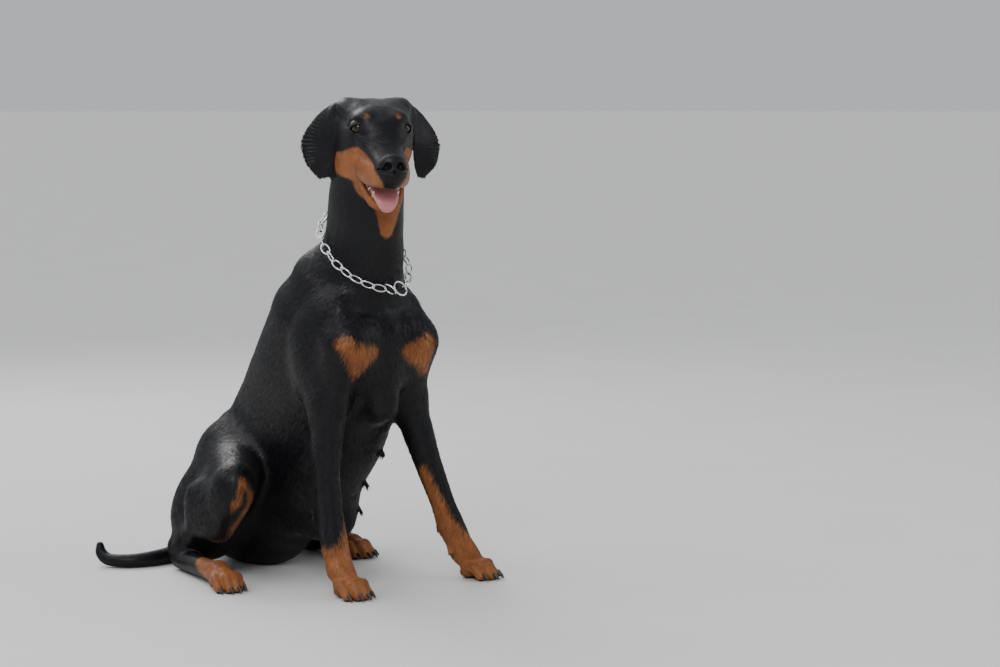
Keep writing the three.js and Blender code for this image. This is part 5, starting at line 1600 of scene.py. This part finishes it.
@dataclass
class Chain:
    """The chain collar, link by link where the solids hold them, set on the skin."""

    flesh: Field
    settling: int = 3

    def paint(self) -> bpy.types.Material:
        """Bright worn steel.

        Returns:
            The material.
        """
        paint = Paint("bright_steel")
        place = paint.node("ShaderNodeTexCoord").outputs["Object"]
        rough = paint.node("ShaderNodeMapRange",
                           {"Value": noise(paint, place, 300), "To Min": 0.14, "To Max": 0.3})
        paint.feed(Base_Color=(0.72, 0.73, 0.75, 1), Metallic=1.0, Roughness=rough.outputs["Result"])
        return paint.material

    def build(self, tree: bpy.types.NodeTree) -> list[bpy.types.Object]:
        """Sets links and rings along the solids' own places.

        Args:
            tree: the node group that repeats a form.

        Returns:
            A piece with all links and a piece with both rings.
        """
        finish = self.paint()
        made = []
        for kind, sizes in (("link", LINK), ("ring", RING)):
            solids = [o for o in bpy.data.objects if o.type == "MESH" and o.name.startswith(f"collar_{kind}")]
            solids.sort(key=lambda solid: solid.name)
            middles, xs, zs = [], [], []
            for solid in solids:
                points = np.array([(solid.matrix_world @ v.co)[:] for v in solid.data.vertices]) / MM - SHIFT
                axes = np.linalg.svd(points - points.mean(0), full_matrices=False)[2]
                middles.append((points.min(0) + points.max(0)) / 2)
                xs.append(axes[0])
                zs.append(axes[2])
            middles, xs, zs = np.array(middles), np.array(xs), np.array(zs)
            for _ in range(self.settling):
                d, slope = gradient_of(self.flesh.distance, middles)
                middles += slope * np.clip(CHAIN_STAND_OFF[kind] - d, -30, 30)[:, None]
            form = wire_loop(f"{kind}_form", *sizes)
            count = len(solids)
            uv = np.column_stack([np.arange(count) / 64, np.zeros(count), np.zeros(count)])
            turns = euler_rows(xs, np.cross(zs, xs), zs)
            links = Repeats(f"chain_{kind}s", middles, turns, np.ones((count, 3)), finish, uv)
            piece = links.build(form, tree, CHAIN_PATCH)
            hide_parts(*(solid.name for solid in solids))
            made.append(piece)
        return made


# Materials


class Paint:
    """A material and its node tree, built node by node."""

    def __init__(self, name: str) -> None:
        self.material = bpy.data.materials.new(name)
        self.material.use_nodes = True
        self.tree = self.material.node_tree
        self.shader = self.tree.nodes["Principled BSDF"]

    def node(self, kind: str, links: dict[str | int, object] | None = None,
             **settings: object) -> bpy.types.Node:
        """Adds a node.

        Args:
            kind: the node's type.
            links: values or output sockets for its inputs, by name or number.
            settings: properties of the node.

        Returns:
            The node.
        """
        return add_node(self.tree, kind, links, **settings)

    def feed(self, **inputs: object) -> None:
        """Sets or links inputs of the shader, named with underscores for spaces."""
        for name, value in inputs.items():
            put(self.tree, self.shader.inputs[name.replace("_", " ")], value)


def put(tree: bpy.types.NodeTree, socket: bpy.types.NodeSocket, value: object) -> None:
    """Links an output socket to an input, or sets its plain value."""
    if isinstance(value, bpy.types.NodeSocket):
        tree.links.new(value, socket)
    else:
        socket.default_value = value


def add_node(tree: bpy.types.NodeTree, kind: str, links: dict[str | int, object] | None = None,
             **settings: object) -> bpy.types.Node:
    """Adds a node to a tree and fills its inputs."""
    node = tree.nodes.new(kind)
    for name, value in settings.items():
        setattr(node, name, value)
    for name, value in (links or {}).items():
        put(tree, node.inputs[name], value)
    return node


@dataclass(frozen=True)
class CoatColours:
    """Colours of the short coat, as linear red, green and blue."""

    black: tuple[float, float, float, float] = (0.0032, 0.0032, 0.004, 1)
    black_lift: tuple[float, float, float, float] = (0.0075, 0.0076, 0.0095, 1)
    rust: tuple[float, float, float, float] = (0.2, 0.062, 0.018, 1)
    rust_pale: tuple[float, float, float, float] = (0.37, 0.145, 0.05, 1)
    leather: tuple[float, float, float, float] = (0.009, 0.0085, 0.009, 1)
    mouth: tuple[float, float, float, float] = (0.3, 0.075, 0.07, 1)


COLOURS = CoatColours()
STRAND_WAYS = {"body": (0.0, 0.62, -0.78), "leg": (0.0, 0.12, -0.99), "head": (0.39, 0.84, 0.37)}


def masked(paint: Paint, name: str, soft: float, ragged: bpy.types.NodeSocket | None) -> bpy.types.NodeSocket:
    """Turns a signed mask attribute into a factor.

    Args:
        paint: the material.
        name: the mask's attribute.
        soft: half the width of its edge, in millimetres.
        ragged: millimetres to add to the mask, such as noise.

    Returns:
        The factor's socket, 1 inside the mark.
    """
    mask = paint.node("ShaderNodeAttribute", attribute_name=name, attribute_type="GEOMETRY").outputs["Fac"]
    if ragged is not None:
        mask = paint.node("ShaderNodeMath", {0: mask, 1: ragged}, operation="ADD").outputs[0]
    ranged = paint.node("ShaderNodeMapRange", {"Value": mask, "From Min": -soft, "From Max": soft},
                        interpolation_type="SMOOTHSTEP", clamp=True)
    return ranged.outputs["Result"]


def mixed(paint: Paint, factor: object, a: object, b: object) -> bpy.types.NodeSocket:
    """Mixes two colours."""
    node = paint.node("ShaderNodeMix", data_type="RGBA")
    for name, value in (("Factor_Float", factor), ("A_Color", a), ("B_Color", b)):
        socket = next(s for s in node.inputs if s.identifier == name)
        put(paint.tree, socket, value)
    return next(s for s in node.outputs if s.identifier == "Result_Color")


def noise(paint: Paint, place: bpy.types.NodeSocket, scale: float, detail: float = 3) -> bpy.types.NodeSocket:
    """Noise around one half."""
    made = paint.node("ShaderNodeTexNoise", {"Vector": place, "Scale": scale, "Detail": detail})
    return made.outputs["Fac"]


STRAND_STRETCH = 0.14
STRAND_SCALE = 300.0
STRAND_AXES = ("Across", "Other", "Along")


def strand_group() -> bpy.types.NodeTree:
    """The shader group with the noise of hair that lies one way, made once."""
    tree = bpy.data.node_groups.get("hair_strands")
    if tree:
        return tree
    tree = bpy.data.node_groups.new("hair_strands", "ShaderNodeTree")
    for name in ("Place", *STRAND_AXES):
        tree.interface.new_socket(name, in_out="INPUT", socket_type="NodeSocketVector")
    tree.interface.new_socket("Height", in_out="OUTPUT", socket_type="NodeSocketFloat")
    entry = tree.nodes.new("NodeGroupInput").outputs
    joined = add_node(tree, "ShaderNodeCombineXYZ")
    for socket, name in zip(joined.inputs, STRAND_AXES):
        dot = add_node(tree, "ShaderNodeVectorMath", {0: entry["Place"], 1: entry[name]},
                       operation="DOT_PRODUCT")
        tree.links.new(dot.outputs["Value"], socket)
    grain = add_node(tree, "ShaderNodeTexNoise",
                     {"Vector": joined.outputs[0], "Scale": 1.0, "Detail": 3})
    exit_node = tree.nodes.new("NodeGroupOutput")
    tree.links.new(grain.outputs["Fac"], exit_node.inputs["Height"])
    return tree


def strand_noise(paint: Paint, place: bpy.types.NodeSocket, way: Sequence[float],
                 scale: float) -> bpy.types.NodeSocket:
    """Noise drawn out along the lie of the hair.

    Args:
        paint: the material.
        place: where the noise is taken.
        way: how the hair lies.
        scale: strands per metre, roughly.

    Returns:
        The noise's socket.
    """
    along = unit(np.array(way, float))
    across = unit(np.cross(along, [0.92, 0.1, 0.38]))
    other = np.cross(along, across)
    group = paint.node("ShaderNodeGroup", node_tree=strand_group())
    put(paint.tree, group.inputs["Place"], place)
    for name, axis in zip(STRAND_AXES, (across, other, along * STRAND_STRETCH)):
        group.inputs[name].default_value = tuple(axis * scale)
    return group.outputs["Height"]


def number(paint: Paint, name: str) -> bpy.types.NodeSocket:
    """An attribute of the mesh as one number."""
    return paint.node("ShaderNodeAttribute", attribute_name=name, attribute_type="GEOMETRY").outputs["Fac"]


def blended(paint: Paint, factor: bpy.types.NodeSocket, a: bpy.types.NodeSocket,
            b: bpy.types.NodeSocket) -> bpy.types.NodeSocket:
    """Mixes two numbers."""
    node = paint.node("ShaderNodeMix", data_type="FLOAT")
    for name, value in (("Factor_Float", factor), ("A_Float", a), ("B_Float", b)):
        put(paint.tree, next(s for s in node.inputs if s.identifier == name), value)
    return next(s for s in node.outputs if s.identifier == "Result_Float")


RAGGED_SKIN = 9.0  # millimetres by which the strands move a mark's edge
RAGGED_TUFTS = 5.0
RUST_EDGE = 6.0


def coat_paint(name: str, wet: bool) -> bpy.types.Material:
    """The coat's material: black with rust marks, and bare leather where wet is true.

    Args:
        name: the material's name.
        wet: whether it is the skin, with its nose, mouth, eyelids and pads.

    Returns:
        The material.
    """
    paint = Paint(name)
    place = paint.node("ShaderNodeTexCoord").outputs["Object"]
    if wet:
        strands = strand_noise(paint, place, STRAND_WAYS["body"], STRAND_SCALE)
        strands = blended(paint, number(paint, "leg_flow"), strands,
                          strand_noise(paint, place, STRAND_WAYS["leg"], STRAND_SCALE))
        strands = blended(paint, number(paint, "head_flow"), strands,
                          strand_noise(paint, place, STRAND_WAYS["head"], 2 * STRAND_SCALE))
    else:
        strands = number(paint, "strand")
    ragged = paint.node("ShaderNodeMath", {0: strands, 1: -0.5}, operation="ADD").outputs[0]
    reach = RAGGED_SKIN if wet else RAGGED_TUFTS
    ragged = paint.node("ShaderNodeMath", {0: ragged, 1: reach}, operation="MULTIPLY").outputs[0]
    rust_factor = masked(paint, "rust", RUST_EDGE, ragged)
    black = mixed(paint, strands, COLOURS.black, COLOURS.black_lift)
    rust = mixed(paint, strands, COLOURS.rust, COLOURS.rust_pale)
    patches = noise(paint, place, 26, 3)
    deep = paint.node("ShaderNodeMapRange", {"Value": patches, "From Min": 0.35, "From Max": 0.75})
    rust = mixed(paint, deep.outputs["Result"], rust, COLOURS.rust)
    colour = mixed(paint, rust_factor, black, rust)
    rough = paint.node("ShaderNodeMapRange", {"Value": strands, "To Min": 0.3, "To Max": 0.46})
    if wet:
        grain = noise(paint, place, 420, 2)
        for mark, tint in (("nose", COLOURS.leather), ("rim", COLOURS.leather), ("pad", COLOURS.leather),
                           ("mouth", COLOURS.mouth)):
            colour = mixed(paint, masked(paint, mark, 0.8, None), colour, tint)
        height = blended(paint, masked(paint, "nose", 1.0, None), strands, grain)
        bump = paint.node("ShaderNodeBump", {"Height": height, "Strength": 0.3, "Distance": 0.0006})
        paint.feed(Normal=bump.outputs["Normal"])
    paint.feed(Base_Color=colour, Roughness=rough.outputs["Result"], Specular_IOR_Level=0.22,
               Sheen_Weight=0.02, Sheen_Roughness=0.4)
    return paint.material


EYE_WHITE = (0.045, 0.03, 0.024, 1)
EYE_EDGE = 0.4
EYE_RINGS = (  # how far each ring reaches from the gaze, in millimetres, and its colour
    (8.4, (0.02, 0.012, 0.008, 1)),
    (7.6, (0.034, 0.014, 0.006, 1)),
    (5.6, (0.02, 0.009, 0.005, 1)),
    (3.1, (0.001, 0.001, 0.001, 1)),
)


def eye_paint() -> bpy.types.Material:
    """A dark brown iris round a black pupil, under a wet clear coat."""
    paint = Paint("wet_eye")
    away = number(paint, "ring")
    colour = EYE_WHITE
    for reach, tint in EYE_RINGS:
        inside = paint.node("ShaderNodeMapRange",
                            {"Value": away, "From Min": reach + EYE_EDGE, "From Max": reach - EYE_EDGE})
        colour = mixed(paint, inside.outputs["Result"], colour, tint)
    paint.feed(Base_Color=colour, Roughness=0.1, Specular_IOR_Level=0.2, Coat_Weight=0.5,
               Coat_Roughness=0.02)
    return paint.material


def wet_paint(name: str, finish: WetFinish) -> bpy.types.Material:
    """Moist flesh or ivory with a fine grain.

    Args:
        name: the material's name.
        finish: its tint, roughness and grain.

    Returns:
        The material.
    """
    paint = Paint(name)
    place = paint.node("ShaderNodeTexCoord").outputs["Object"]
    fine = noise(paint, place, finish.grain, 3)
    dark = tuple(0.72 * part for part in finish.tint[:3]) + (1,)
    bump = paint.node("ShaderNodeBump", {"Height": fine, "Strength": 0.25, "Distance": 0.0006})
    paint.feed(Base_Color=mixed(paint, fine, dark, finish.tint), Roughness=finish.rough,
               Normal=bump.outputs["Normal"], Subsurface_Weight=0.15, Subsurface_Scale=0.004)
    return paint.material


# Floor, light and camera


FOCAL_PIXELS = 2500.0
PHOTO_SIZE = (1000, 667)
HORIZON_ROW = 110.0
CAMERA_PLACE = at(-2857, 3508, 867)
CAMERA_WAY = (0.669, 0.743)


def add_camera() -> None:
    """The camera at the photograph's viewing angle."""
    data = bpy.data.cameras.new("photo_camera")
    data.sensor_width = 36.0
    data.lens = 36.0 * FOCAL_PIXELS / PHOTO_SIZE[0]
    data.clip_end = 4000
    camera = bpy.data.objects.new("photo_camera", data)
    bpy.context.scene.collection.objects.link(camera)
    camera.location = Vector(to_row(CAMERA_PLACE[None])[0])
    tilt = math.atan((PHOTO_SIZE[1] / 2 - HORIZON_ROW) / FOCAL_PIXELS)
    level = Vector((*CAMERA_WAY, 0)).normalized()
    way = level * math.cos(tilt) - Vector((0, 0, math.sin(tilt)))
    camera.rotation_euler = way.to_track_quat("-Z", "Y").to_euler()
    bpy.context.scene.camera = camera


@dataclass(frozen=True)
class SoftLight:
    """A square soft light in the row frame, in metres and watts."""

    name: str
    place: tuple[float, float, float]
    aim: tuple[float, float, float]
    power: float
    size: float


LIGHTS = (
    SoftLight("key", (-2.6, -2.2, 2.9), (0, 0, 0.45), 70, 1.8),
    SoftLight("fill", (2.8, -2.4, 1.9), (0, 0, 0.4), 22, 2.2),
    SoftLight("rim", (0.8, 3.0, 2.6), (0, 0, 0.5), 60, 1.8),
)
SKY_POWER = 1.7
SKY_SPREAD = 70.0
SKY_TURN = (-24.0, -20.0, 0.0)
FLOOR_REACH = 1500.0
WORLD_COLOUR = (0.9, 0.92, 0.95, 1)
HORIZON_STRENGTH = 0.6
ZENITH_STRENGTH = 0.55


def add_lights() -> None:
    """The wide soft sky light and the square lights."""
    data = bpy.data.lights.new("sky", "SUN")
    data.energy = SKY_POWER
    data.angle = math.radians(SKY_SPREAD)
    sky = bpy.data.objects.new("sky", data)
    bpy.context.scene.collection.objects.link(sky)
    sky.rotation_euler = [math.radians(angle) for angle in SKY_TURN]
    for light in LIGHTS:
        data = bpy.data.lights.new(light.name, "AREA")
        data.energy = light.power
        data.size = light.size
        lamp = bpy.data.objects.new(light.name, data)
        bpy.context.scene.collection.objects.link(lamp)
        lamp.location = light.place
        way = Vector(light.aim) - Vector(light.place)
        lamp.rotation_euler = way.to_track_quat("-Z", "Y").to_euler()


def add_floor() -> None:
    """The plain pale floor."""
    reach = FLOOR_REACH
    corners = [(-reach, -reach, 0), (reach, -reach, 0), (reach, reach, 0), (-reach, reach, 0)]
    mesh = bpy.data.meshes.new("floor")
    mesh.from_pydata(corners, [], [(0, 1, 2, 3)])
    floor = bpy.data.objects.new("floor", mesh)
    bpy.context.scene.collection.objects.link(floor)
    paint = Paint("pale_floor")
    place = paint.node("ShaderNodeTexCoord").outputs["Object"]
    tone = mixed(paint, noise(paint, place, 3, 4), (0.60, 0.60, 0.59, 1), (0.66, 0.66, 0.65, 1))
    paint.feed(Base_Color=tone, Roughness=0.7)
    mesh.materials.append(paint.material)


def add_world() -> None:
    """A pale world, near the floor's tone at the horizon."""
    world = bpy.data.worlds.new("studio")
    bpy.context.scene.world = world
    world.use_nodes = True
    tree = world.node_tree
    way = add_node(tree, "ShaderNodeTexCoord").outputs["Generated"]
    height = add_node(tree, "ShaderNodeSeparateXYZ", {0: way}).outputs["Z"]
    rise = add_node(tree, "ShaderNodeMapRange", {
        "Value": height, "From Min": 0.05, "From Max": 0.5, "To Min": HORIZON_STRENGTH,
        "To Max": ZENITH_STRENGTH})
    background = tree.nodes["Background"]
    background.inputs["Color"].default_value = WORLD_COLOUR
    tree.links.new(rise.outputs["Result"], background.inputs["Strength"])


PAIRED_NODES = ("ear", "forepaw", "hindpaw", "foreleg", "hindleg")
FLESH_NODES = (
    "jaw", "head", "neck", "torso", "tail",
    *(f"{part}_{side}" for part in PAIRED_NODES for side in ("right", "left")),
)


def main() -> None:
    """Builds every piece and reports it."""
    logging.basicConfig(level=logging.INFO, format="%(message)s")
    flesh = whole_flesh()
    skin = Skin(flesh)
    piece = skin.build()
    piece.data.materials.append(coat_paint("coat_skin", True))
    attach(piece, "root")
    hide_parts(*FLESH_NODES)
    tree = repeat_tree()
    pieces = [piece, Eye(-1).build(), Eye(1).build()]
    pieces += Mouth().build()
    pieces.append(Claws().build())
    pieces += Chain(flesh).build(tree)
    pieces += Coat(skin).build(tree)
    for made in pieces:
        LOG.info("%s: %d polygons", made.name, len(made.data.polygons))
    add_floor()
    add_lights()
    add_world()
    add_camera()


if __name__ == "__main__":
    main()
